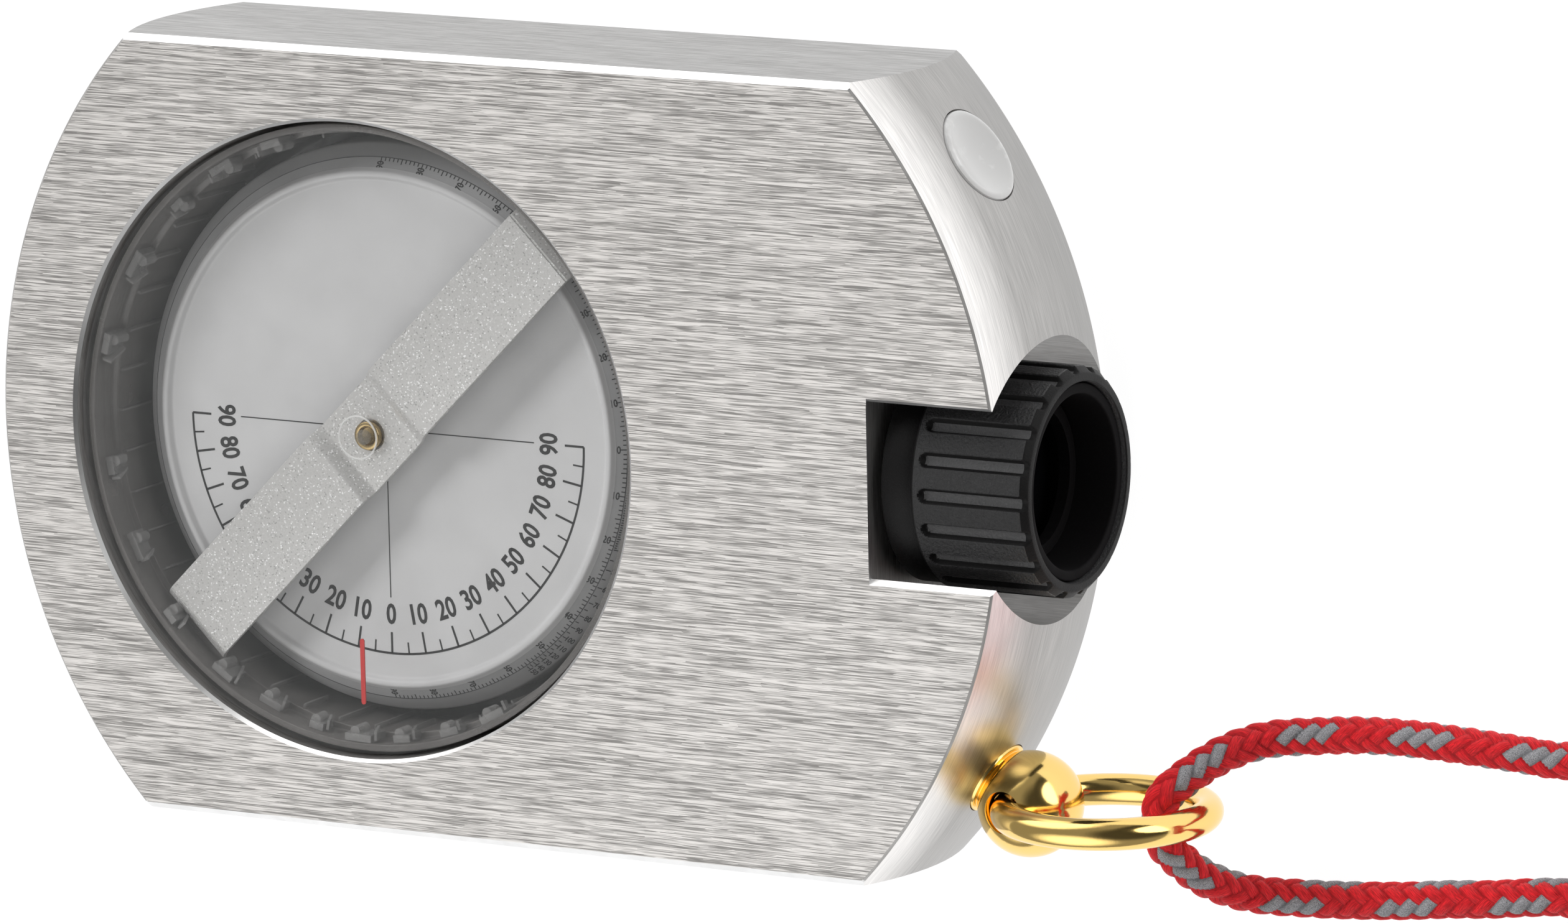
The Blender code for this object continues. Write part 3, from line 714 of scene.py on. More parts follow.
CORD_DIAMETER = 2.35
CORD_RADIUS = CORD_DIAMETER / 2
CORD_SEEN = 34.0
CARRIERS = 6
LEAD = 8.05
PHASE = -2.7
FIRST_STRAND = 0.35
CROSSING = (45.05, -21.3, 8.2)
ROUTE_UPPER = [
    (45.1, -20.3, 8.1), (45.4, -19.6, 7.7), (46.0, -18.9, 6.8), (47.0, -18.0, 5.2), (48.2, -17.3, 3.6),
    (50.0, -16.8, 2.2), (53.0, -16.5, 1.3), (56.0, -16.2, 1.2), (59.5, -16.1, 1.2), (63.1, -16.2, 1.2),
    (67.1, -16.4, 1.2), (70.4, -16.5, 1.2), (73.0, -15.4, 1.3), (74.9, -13.2, 1.7), (76.2, -10.5, 2.3),
]
ROUTE_LOWER = [
    (45.1, -22.3, 8.1), (45.3, -23.0, 7.9), (45.7, -23.8, 7.3), (46.6, -25.2, 5.9), (47.9, -26.3, 4.3),
    (49.4, -26.9, 2.9), (51.6, -27.1, 1.9), (54.9, -27.05, 1.3), (58.95, -26.7, 1.2), (62.0, -26.3, 1.2),
    (65.0, -26.0, 1.2), (67.8, -25.6, 1.2), (70.4, -25.4, 1.2), (72.7, -26.2, 1.2), (74.5, -28.3, 1.2),
    (75.6, -30.9, 1.2),
]
COIL_CENTRE = Vector((95.8, -21.3, 0))
COIL_FIRST = 18.9
COIL_TURNS = 4.5
COIL_LEAD_IN = math.radians(40)
UPPER_LAYER = 3.55
LOWER_LAYER = 1.2
KNOT_SHIFT = Vector((-2.6, 0, 2.7))
KNOT_SIZE = 0.62


def coil_points(last, layer, sense):
    """Where the cord goes after its route: inwards round the coil in one layer, and into the knot.

    sense is -1 for a coil that turns clockwise, seen from above.
    """
    start = Vector(last) - COIL_CENTRE
    first_angle = math.atan2(start.y, start.x)
    radius = math.hypot(start.x, start.y)
    inner = COIL_FIRST - CORD_DIAMETER * COIL_TURNS
    turned = COIL_LEAD_IN + TAU * COIL_TURNS
    made = []
    steps = 4
    for step in range(1, steps + 1):
        share = step / steps
        across = radius + (COIL_FIRST - radius) * ease(share)
        made.append((COIL_LEAD_IN * share, across, last[2] + (layer - last[2]) * ease(share)))
    per_turn = 24
    for step in range(1, round(COIL_TURNS * per_turn) + 1):
        turn = step / per_turn
        made.append((COIL_LEAD_IN + TAU * turn, COIL_FIRST - CORD_DIAMETER * turn, layer))
    for degrees, inwards, z in ((24, 0.5, layer), (48, 1.6, layer * 0.5 + 1.3), (68, 3.2, 2.6)):
        made.append((turned + math.radians(degrees), inner - inwards, z))
    points = []
    for angle, r, z in made:
        a = first_angle + sense * angle
        points.append(COIL_CENTRE + Vector((r * math.cos(a), r * math.sin(a), z)))
    return points + [COIL_CENTRE + KNOT_SHIFT]


def braid_height(along, around):
    """How high the braid's surface stands, from 0 in the grooves to 1 on a strand's crown."""
    p = along + around
    q = along - around
    p_floor, q_floor = np.floor(p), np.floor(q)
    turn = np.mod(p_floor - q_floor, 4)
    first = turn < 1.5
    across = np.where(first, p - p_floor, q - q_floor) - 0.5
    travelled = np.where(first, np.mod(p_floor - q + 1, 4), np.mod(p - q_floor - 2, 4)) / 2
    crown = np.clip(1 - (2 * across) ** 2, 0, 1) ** 0.5
    ends = np.clip(1 - (2 * travelled - 1) ** 4, 0, 1) ** 0.6
    return crown * ends


def braided_tube(points, along, sides, ups, columns, start_turn=0.0):
    """A closed tube whose surface is the braid, and the strands' turns as UV."""
    turns = np.arange(columns) / columns
    around = turns * CARRIERS + start_turn
    lengthways = along / LEAD * CARRIERS
    low, high = CORD_RADIUS - 0.24, CORD_RADIUS + 0.06
    radius = low + (high - low) * braid_height(lengthways[:, None], around[None, :])
    cosines, sines = np.cos(turns * TAU)[None, :, None], np.sin(turns * TAU)[None, :, None]
    ring = cosines * sides[:, None, :] + sines * ups[:, None, :]
    grid = points[:, None, :] + radius[:, :, None] * ring
    rows = len(points)
    vertices = np.vstack([grid.reshape(-1, 3), points[:1], points[-1:]])
    faces = grid_faces(rows, columns) + fan_faces(rows, columns)

    row, column = np.divmod(np.arange((rows - 1) * columns), columns)
    corner_rows = np.stack([row, row, row + 1, row + 1], axis=1)
    corner_columns = np.stack([column, column + 1, column + 1, column], axis=1)
    uv = np.stack([lengthways[corner_rows], corner_columns / columns * CARRIERS + start_turn], axis=-1)
    fan_uv = np.stack([np.tile(lengthways[[0, -1]], columns), np.repeat(around, 2)], axis=1)
    return (vertices, faces), np.vstack([uv.reshape(-1, 2), np.repeat(fan_uv, 3, axis=0)])


def make_cord(looks):
    """One cord through the ring, made as two halves that meet in it, each with its own coil layer."""
    fine, coarse = ((0.11, 0.34))
    columns = 36
    curves = []
    for route, layer, sense in ((ROUTE_UPPER, UPPER_LAYER, -1), (ROUTE_LOWER, LOWER_LAYER, 1)):
        coil = [tuple(point) for point in coil_points(route[-1], layer, sense)]
        curves.append(catmull_rom([CROSSING] + route + coil, 14))
    upper, lower = curves
    points, along = respaced(np.vstack([lower[::-1], upper[1:]]), fine)
    along = along - length_of(lower)
    sides, ups = frames_along(points, (0, 0, 1))
    for name, sign in (("upper", 1), ("lower", -1)):
        # The rows stand close together where the cord is seen, and further apart beyond.
        inside = np.flatnonzero(along * sign >= -fine / 2)[::sign]
        order = np.arange(len(inside))
        seen = np.abs(along[inside]) < CORD_SEEN
        wanted = seen | (order % round(coarse / fine) == 0) | (order == len(inside) - 1)
        keep = np.sort(inside[wanted])
        shape, uv = braided_tube(
            points[keep], along[keep] + PHASE, sides[keep], ups[keep], columns, FIRST_STRAND
        )
        piece = place("lanyard_cord_" + name, shape, looks["braid"], "lanyard", None, uv)
        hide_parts("cord_" + name)
        if name == "upper":
            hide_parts("cord_coil")
    knot = make_knot(looks)


def make_knot(looks):
    """A tight overhand knot that joins the cord's two ends."""
    count = 160
    t = np.arange(count) / count * TAU
    loop = [np.sin(t) + 2 * np.sin(2 * t), np.cos(t) - 2 * np.cos(2 * t), -1.1 * np.sin(3 * t)]
    loop = np.stack(loop, axis=1) * KNOT_SIZE @ np.diag([1.1, 0.85, 1.0])
    loop = loop + np.array(COIL_CENTRE + KNOT_SHIFT)
    points, along = respaced(np.vstack([loop, loop[:1]]), 0.2)
    shape, uv = braided_tube(points, along, *frames_along(points, (0, 0, 1)), 24)
    piece = place("lanyard_knot", shape, looks["braid"], "lanyard", None, uv)
    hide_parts("cord_knot")
    return piece


# ---------------------------------------------------------------- housing

def crown_profile():
    """The outline that the housing's disc is turned from, with its crowned rim."""
    inner = FACE_RADIUS - RIM_CHAMFER
    points = [(0, 0), (inner, 0)]
    for height in np.linspace(RIM_CHAMFER, THICKNESS - RIM_CHAMFER, 13):
        bulge = 1 - ((height - MID) / MID) ** 2
        points.append((FACE_RADIUS + (RIM_RADIUS - FACE_RADIUS) * bulge, height))
    return points + [(inner, THICKNESS), (0, THICKNESS)]


def housing_look(centre, normal):
    """Which look a face of the housing has."""
    from_axis = math.hypot(centre.x, centre.y)
    from_capsule = math.hypot(centre.x - CAPSULE_X, centre.y)
    tilted = 0.3 < abs(normal.z) < 0.95
    if tilted and abs(abs(centre.y) - HALF_WIDTH) < FLAT_CHAMFER:
        return "chamfer"
    if tilted and abs(from_capsule - POCKET_RADIUS) < POCKET_LIP + 0.1:
        return "chamfer"
    if abs(normal.z) > 0.99 and abs(centre.z - MID) > MID - 0.1:
        return "face"
    if abs(normal.y) > 0.99 and abs(centre.y) > HALF_WIDTH - 0.1:
        return "flat"
    if from_axis > FACE_RADIUS - RIM_CHAMFER - 0.01 and abs(normal.z) < 0.75:
        outwards = normal.x * centre.x + normal.y * centre.y
        return "rim" if outwards > 0.5 * from_axis else "bore"
    at_notch = centre.x > COUNTERBORE_FLOOR and centre.z > THICKNESS - 1
    if at_notch and abs(abs(normal.y) - abs(normal.z)) < 0.02:
        return "chamfer"
    return "bore"


def make_housing(looks):
    """The crowned disc with its two flats, pocket, counterbore and three radial holes."""
    side, bevel, reach = HALF_WIDTH, FLAT_CHAMFER, RIM_RADIUS + 5
    section = [
        (-side + bevel, 0), (side - bevel, 0), (side, bevel), (side, THICKNESS - bevel),
        (side - bevel, THICKNESS), (-side + bevel, THICKNESS), (-side, THICKNESS - bevel), (-side, bevel),
    ]
    # (x, y) of a section becomes (y, z) in the part, and the prism runs along X.
    along_x = Matrix(((0, 0, 1, 0), (1, 0, 0, 0), (0, 1, 0, 0), (0, 0, 0, 1)))
    flats = moved(prism(section, -reach, reach), along_x)

    over = THICKNESS + 1
    pocket = [
        (0, POCKET_FLOOR), (POCKET_RADIUS, POCKET_FLOOR), (POCKET_RADIUS, THICKNESS - POCKET_LIP),
        (POCKET_RADIUS + POCKET_LIP + 1, over), (0, over),
    ]
    counterbore = cylinder(COUNTERBORE_RADIUS, COUNTERBORE_FLOOR, RIM_RADIUS + 10, 160)
    channel = cylinder(CHANNEL_RADIUS, 0.5, COUNTERBORE_FLOOR + 1, 96)
    lower_wedge = [(-6.5, 15.3), (-4.7, 13.5), (-4.7, 15.3)]
    upper_wedge = [(6.15, 15.3), (4.7, 15.3), (4.7, 13.85)]
    wedges = [prism(wedge, COUNTERBORE_FLOOR + 0.02, reach) for wedge in (lower_wedge, upper_wedge)]

    socket, light_bore, past = LIGHT_RADIUS + 0.12, 2.4, RIM_RADIUS + 3
    plug_end = RIM_RADIUS - 0.5 - LIGHT_PLUG
    light_way = [
        (0, 12.5), (light_bore, 12.5), (light_bore, plug_end), (socket, plug_end),
        (socket, past), (0, past),
    ]
    seat, shank = COLLAR_DISC + 0.06, 1.8
    stud_seat = [(0, -13), (shank, -13), (shank, -4.2), (seat, -4.2), (seat, 2), (0, 2)]

    cuts = [moved(lathe(pocket, 288), CAPSULE_PLACE)]
    cuts += [moved(cut, EYEPIECE_PLACE) for cut in (counterbore, channel)]
    cuts += [moved(wedge, along_x) for wedge in wedges]
    cuts += [moved(lathe(light_way, 120), LIGHT_PLACE), moved(lathe(stud_seat, 120), STUD_PLACE)]
    shape = carved(lathe(crown_profile(), 400), cuts, within=flats)
    housing = place("body_shell", shape, looks["face"], "root", 28.0)
    choose_looks(housing, looks, ("face", "rim", "chamfer", "bore", "flat"), housing_look)
    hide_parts("housing")


# ---------------------------------------------------------------- capsule

def make_window(looks):
    """The clear lid with its boss, which is bored for the front bearing."""
    boss_base = BAR_TOP - BAR_SHEET
    hole = SETTING_RADIUS + 0.15
    profile = rounded(0.06, [
        (0, WINDOW_TOP, 0), (CUP_RADIUS - 0.3, WINDOW_TOP), (CUP_RADIUS, WINDOW_TOP - 0.3),
        (CUP_RADIUS, WINDOW_BASE), (BOSS_RADIUS + 0.15, WINDOW_BASE, 0.12), (BOSS_RADIUS, boss_base, 0.15),
        (hole, boss_base, 0.1), (hole, WINDOW_BASE - 0.1, 0.3), (0, WINDOW_BASE, 0),
    ])
    shape = moved(lathe(profile[::-1], 240), CAPSULE_PLACE)
    window = place("capsule_lid", shape, looks["window"], "root", 40.0)
    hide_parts("capsule_window")


def clip_shape(width, height):
    """A small moulded hook: a foot, a round nose and a slanted web, about the origin with +X inwards."""
    foot = block((-0.45, -width / 2, 0), (0.05, width / 2, height))
    nose = moved(cylinder(0.36, 0, height * 0.75, 20), at(0.12, width * 0.22, 0.1))
    lean = at(0.1, -width * 0.3, 0.15) @ spun(math.radians(24), "X")
    web = moved(block((-0.35, -0.09, 0), (0.3, 0.09, height * 0.95)), lean)
    return joined([foot, nose, web])


def make_cup(looks):
    """The clear cup, coloured dark grey as painted shade for the capsule's dim inside, with a stepped wall,
    its filler hole, and the hooks and ribs moulded inside it, whose light grey is partly a painted
    highlight.
    """
    floor, wall, top = CUP_BASE + 0.9, CUP_RADIUS - 0.9, 13.85
    foot_outer, foot_inner = 2.6, 1.9
    filler_radius, filler_x, filler_y = 1.5, -8.5, 9.5
    profile = rounded(0.08, [
        (0, CUP_BASE, 0), (CUP_RADIUS, CUP_BASE, 0.4), (CUP_RADIUS, top), (CUP_RADIUS - 0.45, top),
        (CUP_RADIUS - 0.5, CUP_STEP + 0.1), (wall, CUP_STEP, 0.1), (wall, floor, 0.3),
        (foot_outer, floor, 0.2), (foot_outer, floor + 1.4), (foot_inner, floor + 1.4),
        (foot_inner, floor, 0), (0, floor, 0),
    ])
    filler = moved(cylinder(filler_radius, CUP_BASE - 1, floor + 1, 40), at(filler_x, filler_y, 0))
    shape = moved(carved(lathe(profile, 240), [filler]), CAPSULE_PLACE)
    cup = place("capsule_shell", shape, looks["cup"], "root", 32.0)
    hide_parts("capsule_cup")

    hooks = []
    hook_angles = (108, 121, 134, 149, 166, 190, 206, 221, 236, 247, 258, 268, 277, 287, 298)
    for index, angle in enumerate(hook_angles):
        hook = clip_shape(1.5 + 0.5 * math.sin(index * 2.4), 1.5 + 0.35 * math.cos(index * 1.7))
        seat = spun(math.radians(angle)) @ at(wall - 0.05, 0, CUP_STEP + 0.12) @ spun(math.pi)
        hooks.append(moved(hook, CAPSULE_PLACE @ seat))
    place("capsule_hooks", joined(hooks), looks["shard"], "root", 30.0)

    ribs = []
    for index in range(26):
        tall = 4.6 + 1.6 * math.sin(index * 1.9)
        rib = block((wall - 0.28, -0.07, CUP_STEP - tall), (wall + 0.1, 0.07, CUP_STEP - 0.2))
        ribs.append(moved(rib, CAPSULE_PLACE @ spun(math.radians(100 + index * 8))))
    place("capsule_ribs", joined(ribs), looks["shard"], "root", 30.0)


def make_index(looks):
    """The red line under the lid, with round ends."""
    half = INDEX_HALF_WIDTH
    outline = arc((0, -INDEX_START - half), (half, half), 0, math.pi, 8)
    outline += arc((0, -INDEX_END + half), (half, half), math.pi, TAU, 8)
    line = moved(prism(outline, WINDOW_BASE - 0.14, WINDOW_BASE - 0.05), CAPSULE_PLACE)
    made = place("index_mark", line, looks["red"], "root")
    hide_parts("index_line")


# ---------------------------------------------------------------- drum

def arc_band(radius, width, start, end, low, high, steps):
    """A thin curved strip between two angles, in degrees."""
    inner, outer = radius - width / 2, radius + width / 2
    corners = ((inner, low), (outer, low), (outer, high), (inner, high))
    angles = np.radians(np.linspace(start, end, steps + 1))
    return swept([[(r * math.cos(a), r * math.sin(a), z) for r, z in corners] for a in angles])


def stroke(angle, start, end, width, low, high):
    """A thin radial line between two radii."""
    return moved(block((start, -width / 2, low), (end, width / 2, high)), spun(angle))


def brim_height(radius):
    """Where the sloping brim is, outside the raised lip."""
    return DIAL_TOP - (radius - BRIM_START) * math.tan(BRIM_SLOPE)


def on_slope(angle, radius, height, slope):
    """A spot on a surface that slopes down outwards, with +X down the slope."""
    return spun(angle) @ at(radius, 0, height) @ spun(slope, "Y")


def slope_tick(spot, start, end):
    """A fine tick on a sloping surface."""
    return moved(block((start, -0.034, -0.006), (end, 0.034, 0.012)), spot)


def by_tens(value, ten, five, other):
    """The length of a value's tick: long at the tens, shorter at the fives, shortest between."""
    return ten if value % 10 == 0 else five if value % 5 == 0 else other


def dial_marks():
    """The protractor on the dial's face."""
    low, high = DIAL_TOP - 0.01, DIAL_TOP + 0.014
    marks = [arc_band(SCALE_RADIUS, 0.15, 180, 360, low, high, 90)]
    for degree in range(-90, 91, 5):
        long, width = (1.42, 0.15) if degree % 10 == 0 else (0.78, 0.11)
        angle = math.radians(270 + degree)
        marks.append(stroke(angle, SCALE_RADIUS - long, SCALE_RADIUS, width, low, high))
    for degree in range(-90, 91, 10):
        angle = math.radians(270 + degree)
        spot = at(FIGURE_RADIUS * math.cos(angle), FIGURE_RADIUS * math.sin(angle), DIAL_TOP)
        marks.append(moved(figures(degree, FIGURE_HEIGHT), spot @ spun(angle + math.pi / 2)))
    for angle in (0.0, math.pi, 1.5 * math.pi):
        marks.append(stroke(angle, HUB_RADIUS + 0.1, CROSS_LINE_END, 0.075, low, high))
    return marks


def brim_marks():
    """The degree scale on the brim, and the percent scale on the flare, which slopes down from it."""
    edge = FLARE_TOP_RADIUS - 0.04
    height = brim_height(edge)
    marks = [arc_band(edge, 0.05, -180, 180, height - 0.02, height + 0.014, 240)]
    for degree in range(-90, 91):
        spot = on_slope(math.radians(degree), edge, height, BRIM_SLOPE)
        marks.append(slope_tick(spot, -by_tens(degree, 0.44, 0.38, 0.26), 0))
    height = brim_height(BRIM_FIGURE_RADIUS)
    for degree in range(-90, 91, 10):
        spot = on_slope(math.radians(degree), BRIM_FIGURE_RADIUS, height, BRIM_SLOPE)
        marks.append(moved(figures(degree, BRIM_FIGURE_HEIGHT), spot))

    top = brim_height(FLARE_TOP_RADIUS)
    slope = math.atan2(top - FLARE_BASE, DRUM_RADIUS - FLARE_TOP_RADIUS)
    inset, fine_until = 0.03, 40
    for percent in range(-150, 151):
        if abs(percent) > fine_until and percent % 5:
            continue
        angle = math.atan(percent / 100)
        spot = on_slope(angle, FLARE_TOP_RADIUS + inset, top - inset * math.tan(slope), slope)
        marks.append(slope_tick(spot, 0, by_tens(percent, 0.34, 0.26, 0.16)))
        if percent % 10 == 0:
            marks.append(moved(figures(percent, PERCENT_FIGURE_HEIGHT), spot @ at(0.62, 0, 0)))
    return marks


def make_marks(looks):
    """Everything that is printed on the drum."""
    shape = moved(joined(dial_marks() + brim_marks()), CAPSULE_PLACE)
    place("dial_marks", shape, looks["ink"], "drum", 30.0)


def make_drum(looks):
    """The dial with its hub and raised lip, its sloping brim and its side wall."""
    under, inner, hub_hole, hub_top = DIAL_TOP - 0.5, DRUM_RADIUS - 0.6, 0.65, DIAL_TOP + 0.35
    profile = rounded(0.05, [
        (hub_hole, hub_top), (HUB_RADIUS - 0.3, hub_top, 0.12), (HUB_RADIUS, DIAL_TOP, 0.08),
        (DIAL_RADIUS, DIAL_TOP, 0.12), (DIAL_RADIUS + 0.26, DIAL_TOP + 0.32, 0.22),
        (DIAL_RADIUS + 0.56, DIAL_TOP + 0.32, 0.26), (BRIM_START, DIAL_TOP, 0.12),
        (FLARE_TOP_RADIUS, brim_height(FLARE_TOP_RADIUS), 0.06), (DRUM_RADIUS, FLARE_BASE, 0.2),
        (DRUM_RADIUS, DRUM_BASE), (inner, DRUM_BASE), (inner, FLARE_BASE - 0.25),
        (FLARE_TOP_RADIUS - 0.8, under), (HUB_RADIUS, under), (HUB_RADIUS, under - 1.6),
        (hub_hole, under - 1.6),
    ], 4)
    shape = moved(lathe(profile, 288, closed=True), CAPSULE_PLACE)
    drum = place("dial_drum", shape, looks["dial"], "drum", 32.0)

    def look(centre, _):
        """Painted shade: darker grey outside the raised lip, on the sloping brim."""
        return "brim" if math.hypot(centre.x - CAPSULE_X, centre.y) > BRIM_START + 0.02 else "dial"

    choose_looks(drum, looks, ("dial", "brim"), look)
    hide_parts("scale_drum")


# ---------------------------------------------------------------- bridge bar and bearing

def make_bar(looks):
    """The painted strip: dished at the pivot, its ends turned down, its long edges rounded."""
    low = BAR_TOP - BAR_DISH
    end_drop = (BAR_HALF - BAR_BEND) * math.tan(math.radians(38))
    dish_from, dish_to = 2.4, 3.5
    half = [(0.0, low), (dish_from - 0.1, low)]
    for share in np.linspace(0, 1, 11):
        half.append((dish_from + (dish_to - dish_from) * share, low + BAR_DISH * ease(share)))
    half += [
        (10.0, BAR_TOP), (BAR_BEND - 0.12, BAR_TOP), (BAR_BEND - 0.07, BAR_TOP - 0.06),
        (BAR_BEND + 0.01, BAR_TOP - 0.08), (BAR_BEND + 0.06, BAR_TOP - 0.05),
        (BAR_HALF, BAR_TOP - end_drop),
    ]
    stations = [(-x, z) for x, z in half[:0:-1]] + half
    wide = BAR_WIDTH / 2
    section = rounded(0.07, [(-wide, -BAR_SHEET), (wide, -BAR_SHEET), (wide, 0), (-wide, 0)])
    strip = swept([[(x, y, z + above) for y, above in section] for x, z in stations])
    hole = cylinder(SETTING_RADIUS + 0.12, low - 1, BAR_TOP + 1, 48)
    shape = moved(carved(strip, [hole]), CAPSULE_PLACE @ spun(BAR_TURN))
    bar = place("bridge_strip", shape, looks["silver"], "root", 28.0)
    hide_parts("bridge_bar")


def make_bearing(looks):
    """The brass screw, a light ring that paints the highlight on the rounded edge of the lid's boss, and a
    bead of clear resin on the screw.
    """
    top = BAR_TOP - 0.08
    profile = rounded(0.05, [
        (0, top - 1.9, 0), (SETTING_RADIUS - 0.1, top - 1.9), (SETTING_RADIUS, top - 0.5),
        (SETTING_RADIUS, top, 0.15), (0.62, top, 0.1), (0.55, top - 0.35), (0, top - 0.4, 0),
    ])
    shape = moved(lathe(profile, 72), CAPSULE_PLACE)
    screw = place("bearing_screw", shape, looks["brass"], "root", 35.0)
    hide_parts("front_setting")
    # A thin light ring inside the clear boss, as a painted highlight on its rounded edge.
    edge = arc((1.42, 0), (0.07, 0.05), 0, TAU, 10)[:-1]
    shape = moved(lathe(edge, 96, closed=True), at(CAPSULE_X - 0.22, 0.02, BAR_TOP + 0.62))
    place("bearing_boss_painted_highlight", shape, looks["boss_painted_highlight"], "root", None)
    bead = arc((0, 0), (0.52, 0.45), -math.pi / 2, math.pi / 2, 13)
    shape = moved(lathe(bead, 48), at(CAPSULE_X - 0.12, -0.05, top + 0.12))
    place("bearing_bead", shape, looks["jewel"], "root", None)


# ---------------------------------------------------------------- eyepiece

def make_grip(looks):
    """The ribbed ring: round-ended grooves that run out at the chamfer, and a smooth collar."""
    start = RIBS_START + 0.55 + GROOVE_HALF_WIDTH
    grooved_from, grooved_to = RIBS_START + 0.2, GRIP_END - 0.45
    outer = [
        (GRIP_START, COLLAR_RADIUS - 0.25), (GRIP_START + 0.06, COLLAR_RADIUS - 0.1),
        (GRIP_START + 0.2, COLLAR_RADIUS), (GRIP_START + 1.2, COLLAR_RADIUS),
        (RIBS_START - 0.25, COLLAR_RADIUS), (RIBS_START - 0.12, COLLAR_RADIUS - 0.1),
        (RIBS_START, COLLAR_RADIUS - 0.1), (RIBS_START + 0.05, GRIP_RADIUS - 0.12),
        (RIBS_START + 0.16, GRIP_RADIUS),
    ]
    outer += [(x, GRIP_RADIUS) for x in np.linspace(RIBS_START + 0.24, GRIP_END - 0.5, 97)]
    outer += [
        (GRIP_END - 0.42, GRIP_RADIUS - 0.04), (GRIP_END - 0.3, GRIP_RADIUS - 0.16),
        (GRIP_END - 0.1, GRIP_RADIUS - 0.36), (GRIP_END - 0.03, GRIP_RADIUS - 0.43),
        (GRIP_END, GRIP_RADIUS - 0.5), (GRIP_END, GRIP_BORE + 0.08), (GRIP_END - 0.08, GRIP_BORE),
        (GRIP_START + 0.1, GRIP_BORE), (GRIP_START, GRIP_BORE + 0.1),
    ]

    columns = GROOVES * 40
    angles = np.arange(columns) * TAU / columns
    step = TAU / GROOVES
    across = ((angles - GROOVE_PHASE * step + step / 2) % step - step / 2) * GRIP_RADIUS
    grid = []
    for x, radius in outer:
        radii = np.full(columns, radius)
        if x > grooved_from:
            distance = np.hypot(across, max(0.0, start - x))
            flank = np.clip((GROOVE_HALF_WIDTH - distance) / GROOVE_FLANK, 0, 1)
            bowl = 1 - np.clip(distance / GROOVE_HALF_WIDTH, 0, 1) ** 2
            radii = np.minimum(radius, GRIP_RADIUS - GROOVE_DEPTH * (0.35 * ease(flank) + 0.65 * bowl))
        row = [np.full(columns, x), radii * np.cos(angles), radii * np.sin(angles) + MID]
        grid.append(np.stack(row, axis=1))
    shape = np.array(grid).reshape(-1, 3), grid_faces(len(outer), columns, wrap_rows=True)
    grip = place("grip_ring", shape, looks["black"], "grip", 40.0)

    def look(centre, _):
        """Shiny in the grooves, with a lighter colour there as a painted highlight; grained on the lands
        between them, a little lighter partly as a painted highlight.
        """
        below = GRIP_RADIUS - math.hypot(centre.y, centre.z - MID)
        if not grooved_from < centre.x < grooved_to:
            return "black"
        if below > 0.72 * GROOVE_DEPTH and centre.x > start - 0.2:
            return "groove"
        return "grained" if below < 0.05 else "black"

    choose_looks(grip, looks, ("black", "groove", "grained"), look)
    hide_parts("focus_grip")


def make_tube(looks):
    """The sliding tube whose lip shows inside the grip, and its lens."""
    outer, neck, bore, lip, step_at = GRIP_BORE - 0.12, 3.3, 2.4, GRIP_END - 0.3, 31.4
    profile = rounded(0.06, [
        (bore, 18.0), (neck, 18.0), (neck, step_at), (outer, step_at), (outer, lip, 0.12),
        (EYE_RADIUS + 0.05, lip, 0.15), (EYE_RADIUS - 0.05, step_at + 1), (bore, step_at + 1),
    ])
    shape = moved(lathe(profile, 160, closed=True), EYEPIECE_PLACE)
    tube = place("eye_tube", shape, looks["matte_black"], "focus", 35.0)
    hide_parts("focus_tube")
    seat, sag = EYE_RADIUS - 0.3, 0.7
    shares = np.linspace(0, 1, 15)
    profile = [(seat * share, 33.6 - sag * (1 - share**2)) for share in shares]
    profile += [(seat * share, 34.2 + sag * (1 - share**2)) for share in shares[::-1]]
    shape = moved(lathe(profile, 96), EYEPIECE_PLACE)
    lens = place("eye_glass", shape, looks["glass"], "focus", 40.0)
    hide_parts("eye_lens")


# ---------------------------------------------------------------- light window, stud and ring

def make_light_window(looks):
    """A milky plug that stands a little proud, with a soft shoulder round a shallow dish."""
    rim = RIM_RADIUS + 0.3
    radius = LIGHT_RADIUS + 0.04
    shoulder = radius - 0.32
    profile = [
        (0, rim - LIGHT_PLUG), (radius, rim - LIGHT_PLUG), (radius, rim - 0.52), (radius - 0.05, rim - 0.4),
        (radius - 0.15, rim - 0.33), (shoulder, rim - 0.3), (shoulder - 0.12, rim - 0.32),
    ]
    for share in np.linspace(1, 0, 14):
        profile.append(((shoulder - 0.25) * share, rim - 0.85 + 0.48 * share**2))
    shape = moved(lathe(profile, 128), LIGHT_PLACE)
    window = place("light_dome", shape, looks["milky"], "root", 30.0)
    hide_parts("light_window")


def make_stud(looks):
    """The gold ball on its collar, drilled for the ring."""
    neck = 2.2
    profile = [
        (0, -12.0), (1.5, -12.0), (1.5, -3.9), (COLLAR_DISC, -3.9), (COLLAR_DISC, -2.82),
        (COLLAR_DISC - 0.04, -2.75), (COLLAR_DISC - 0.12, -2.72), (neck + 0.03, -2.71), (neck, -2.68),
    ]
    profile += arc((0, 0), (BALL_RADIUS, BALL_RADIUS), -math.acos(neck / BALL_RADIUS), math.pi / 2, 40)[1:]
    barrel = [
        (0, -5), (1.75, -5), (1.42, -3.2), (1.18, -2.7), (1.2, -2.2), (1.38, -1.6),
        (1.52, -1.0), (1.6, -0.4),
    ]
    barrel = barrel + [(radius, -height) for radius, height in barrel[::-1]]
    hole = moved(lathe(barrel, 72), at(RING_AXIS_X, BALL_CENTRE.y, MID))
    shape = carved(moved(lathe(profile, 128), STUD_PLACE), [hole])
    stud = place("lanyard_stud", shape, looks["gold"], "root", 30.0)
    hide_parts("ball_stud")


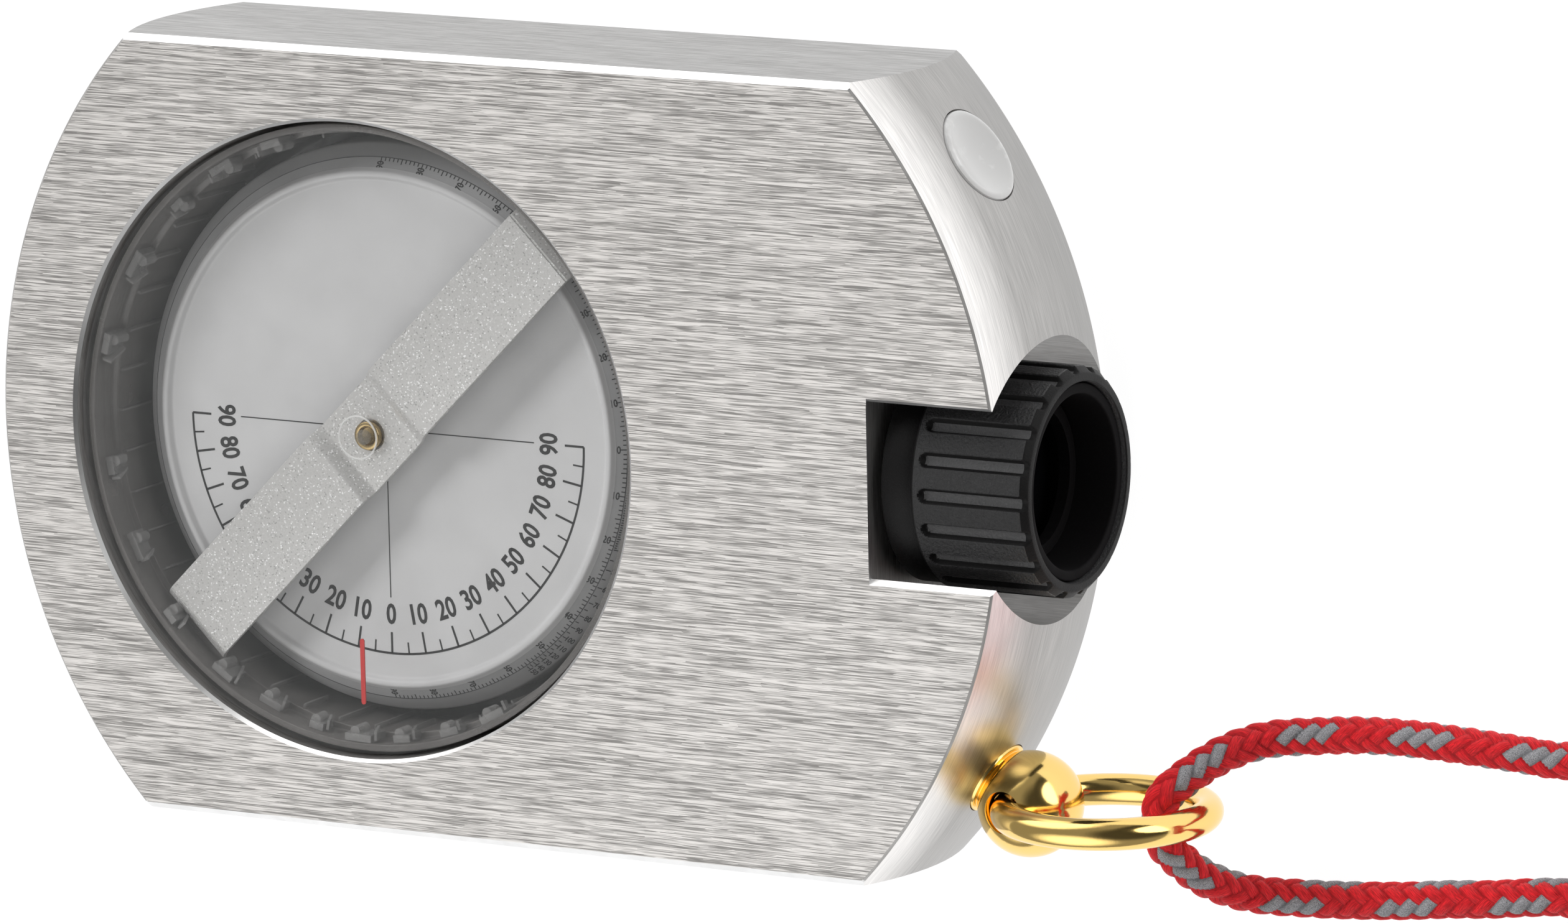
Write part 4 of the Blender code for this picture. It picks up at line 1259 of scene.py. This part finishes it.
def make_ring(looks):
    """The gold wire ring."""
    section = arc((RING_MAJOR, 0), (RING_WIRE, RING_WIRE), 0, TAU, 32)[:-1]
    upright = at(RING_X, BALL_CENTRE.y, MID) @ spun(math.pi / 2, "X")
    shape = moved(lathe(section, 180, closed=True), upright)
    ring = place("wire_ring", shape, looks["gold"], "lanyard", None)
    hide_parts("lanyard_ring")


def dress_inner_parts(looks):
    """The pieces inside that keep their own shapes get their own surfaces."""
    wanted = {
        "filler_plug": "gloss_black", "rear_setting": "brass", "rear_jewel": "ruby", "front_jewel": "ruby",
        "hairline_disc": "window", "hair_line": "ink", "eyepiece_bush": "gloss_black",
        "focus_o_ring": "rubber", "lens_ring": "matte_black", "drum_weight": "brass", "drum_axle": "steel",
    }
    for name, look in wanted.items():
        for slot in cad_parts[name].material_slots:
            slot.material = looks[look]


# ---------------------------------------------------------------- camera, ground and lights

def make_camera():
    """A long lens that looks down at the dial from a little to the right."""
    data = bpy.data.cameras.new("camera")
    data.lens = 244.684
    data.sensor_width = 36.0
    data.clip_start = 0.01
    data.clip_end = 20.0
    camera = linked("camera", data)
    camera.location = (0.35060, 0.13207, 0.59378)
    camera.rotation_euler = (-0.20483, 0.51251, -0.02208)
    bpy.context.scene.camera = camera


def make_stage():
    """The white ground, which glows so that shadows hardly show on it."""
    look = Surface("floor_white", colour=(0.93, 0.93, 0.93), roughness=0.7)
    look.set("Base Color", look.blend(look.noise(30.0, 2.0), (0.10, 0.10, 0.10), (0.12, 0.12, 0.12)))
    look.set("Specular IOR Level", 0.0)
    look.set("Emission Color", (1.0, 1.0, 1.0, 1.0))
    look.set("Emission Strength", 0.97)
    half = 3.0
    corners = [(-half, -half, 0), (half, -half, 0), (half, half, 0), (-half, half, 0)]
    mesh = bpy.data.meshes.new("floor")
    mesh.from_pydata(corners, [], [(0, 1, 2, 3)])
    mesh.materials.append(look.material)
    floor = linked("floor", mesh)
    floor.location.z = -0.0002


def area_light(name, direction, distance, size, power):
    """A rectangular softbox that shines at the object from a direction, and isn't mirrored in it."""
    data = bpy.data.lights.new(name, "AREA")
    data.shape = "RECTANGLE"
    data.size, data.size_y = size
    data.energy = power
    light = linked(name, data)
    toward = Vector(direction).normalized()
    light.location = toward * distance
    light.rotation_euler = toward.to_track_quat("Z", "Y").to_euler()
    light.visible_glossy = False


def world_patch(world, direction, inner, outer, before, value):
    """Blends the world towards a value inside a cone.

    The blend is whole inside the inner angle, and gone past the outer one.
    """
    toward = Vector(direction).normalized()
    generated = world.node("ShaderNodeTexCoord", {}, output="Generated")
    inputs = {0: generated, 1: toward}
    dot = world.node("ShaderNodeVectorMath", inputs, output="Value", operation="DOT_PRODUCT")
    low, high = math.cos(math.radians(outer)), math.cos(math.radians(inner))
    inputs = {"Value": dot, "From Min": low, "From Max": high}
    share = world.node("ShaderNodeMapRange", inputs, interpolation_type="SMOOTHSTEP")
    return world.mix(share, before, value)


def make_lights():
    """A grey world with brighter and darker patches, which the metal mirrors, and one softbox."""
    studio = bpy.data.worlds.new("studio")
    bpy.context.scene.world = studio
    studio.use_nodes = True
    world = Nodes(studio.node_tree)
    strength = 0.29
    for direction, inner, outer, value in (
        ((-0.15, -0.62, 0.77), 8, 44, 1.75),
        ((0.6, 0.15, 0.45), 26, 52, 0.06),
        ((0.876, 0.477, 0.10), 34, 44, 0.05),
        ((0.876, 0.477, 0.10), 21, 24, 2.6),
        ((-0.5, 0.84, 0.24), 18, 38, 2.0),
    ):
        strength = world_patch(world, direction, inner, outer, strength, value)
    background = studio.node_tree.nodes["Background"]
    world.feed(background.inputs[0], (1.0, 0.995, 0.985, 1.0))
    world.feed(background.inputs[1], strength)
    area_light("key", (-0.645, 0.452, 0.616), 0.9, (0.24, 0.24), 3.4)
    bpy.context.scene.view_settings.view_transform = "Standard"


make_camera()
LOOKS = make_looks()
for make in (
    make_cord, make_housing, make_window, make_cup, make_index, make_drum, make_marks, make_bar,
    make_bearing, make_grip, make_tube, make_light_window, make_stud, make_ring, dress_inner_parts,
):
    make(LOOKS)
make_stage()
make_lights()
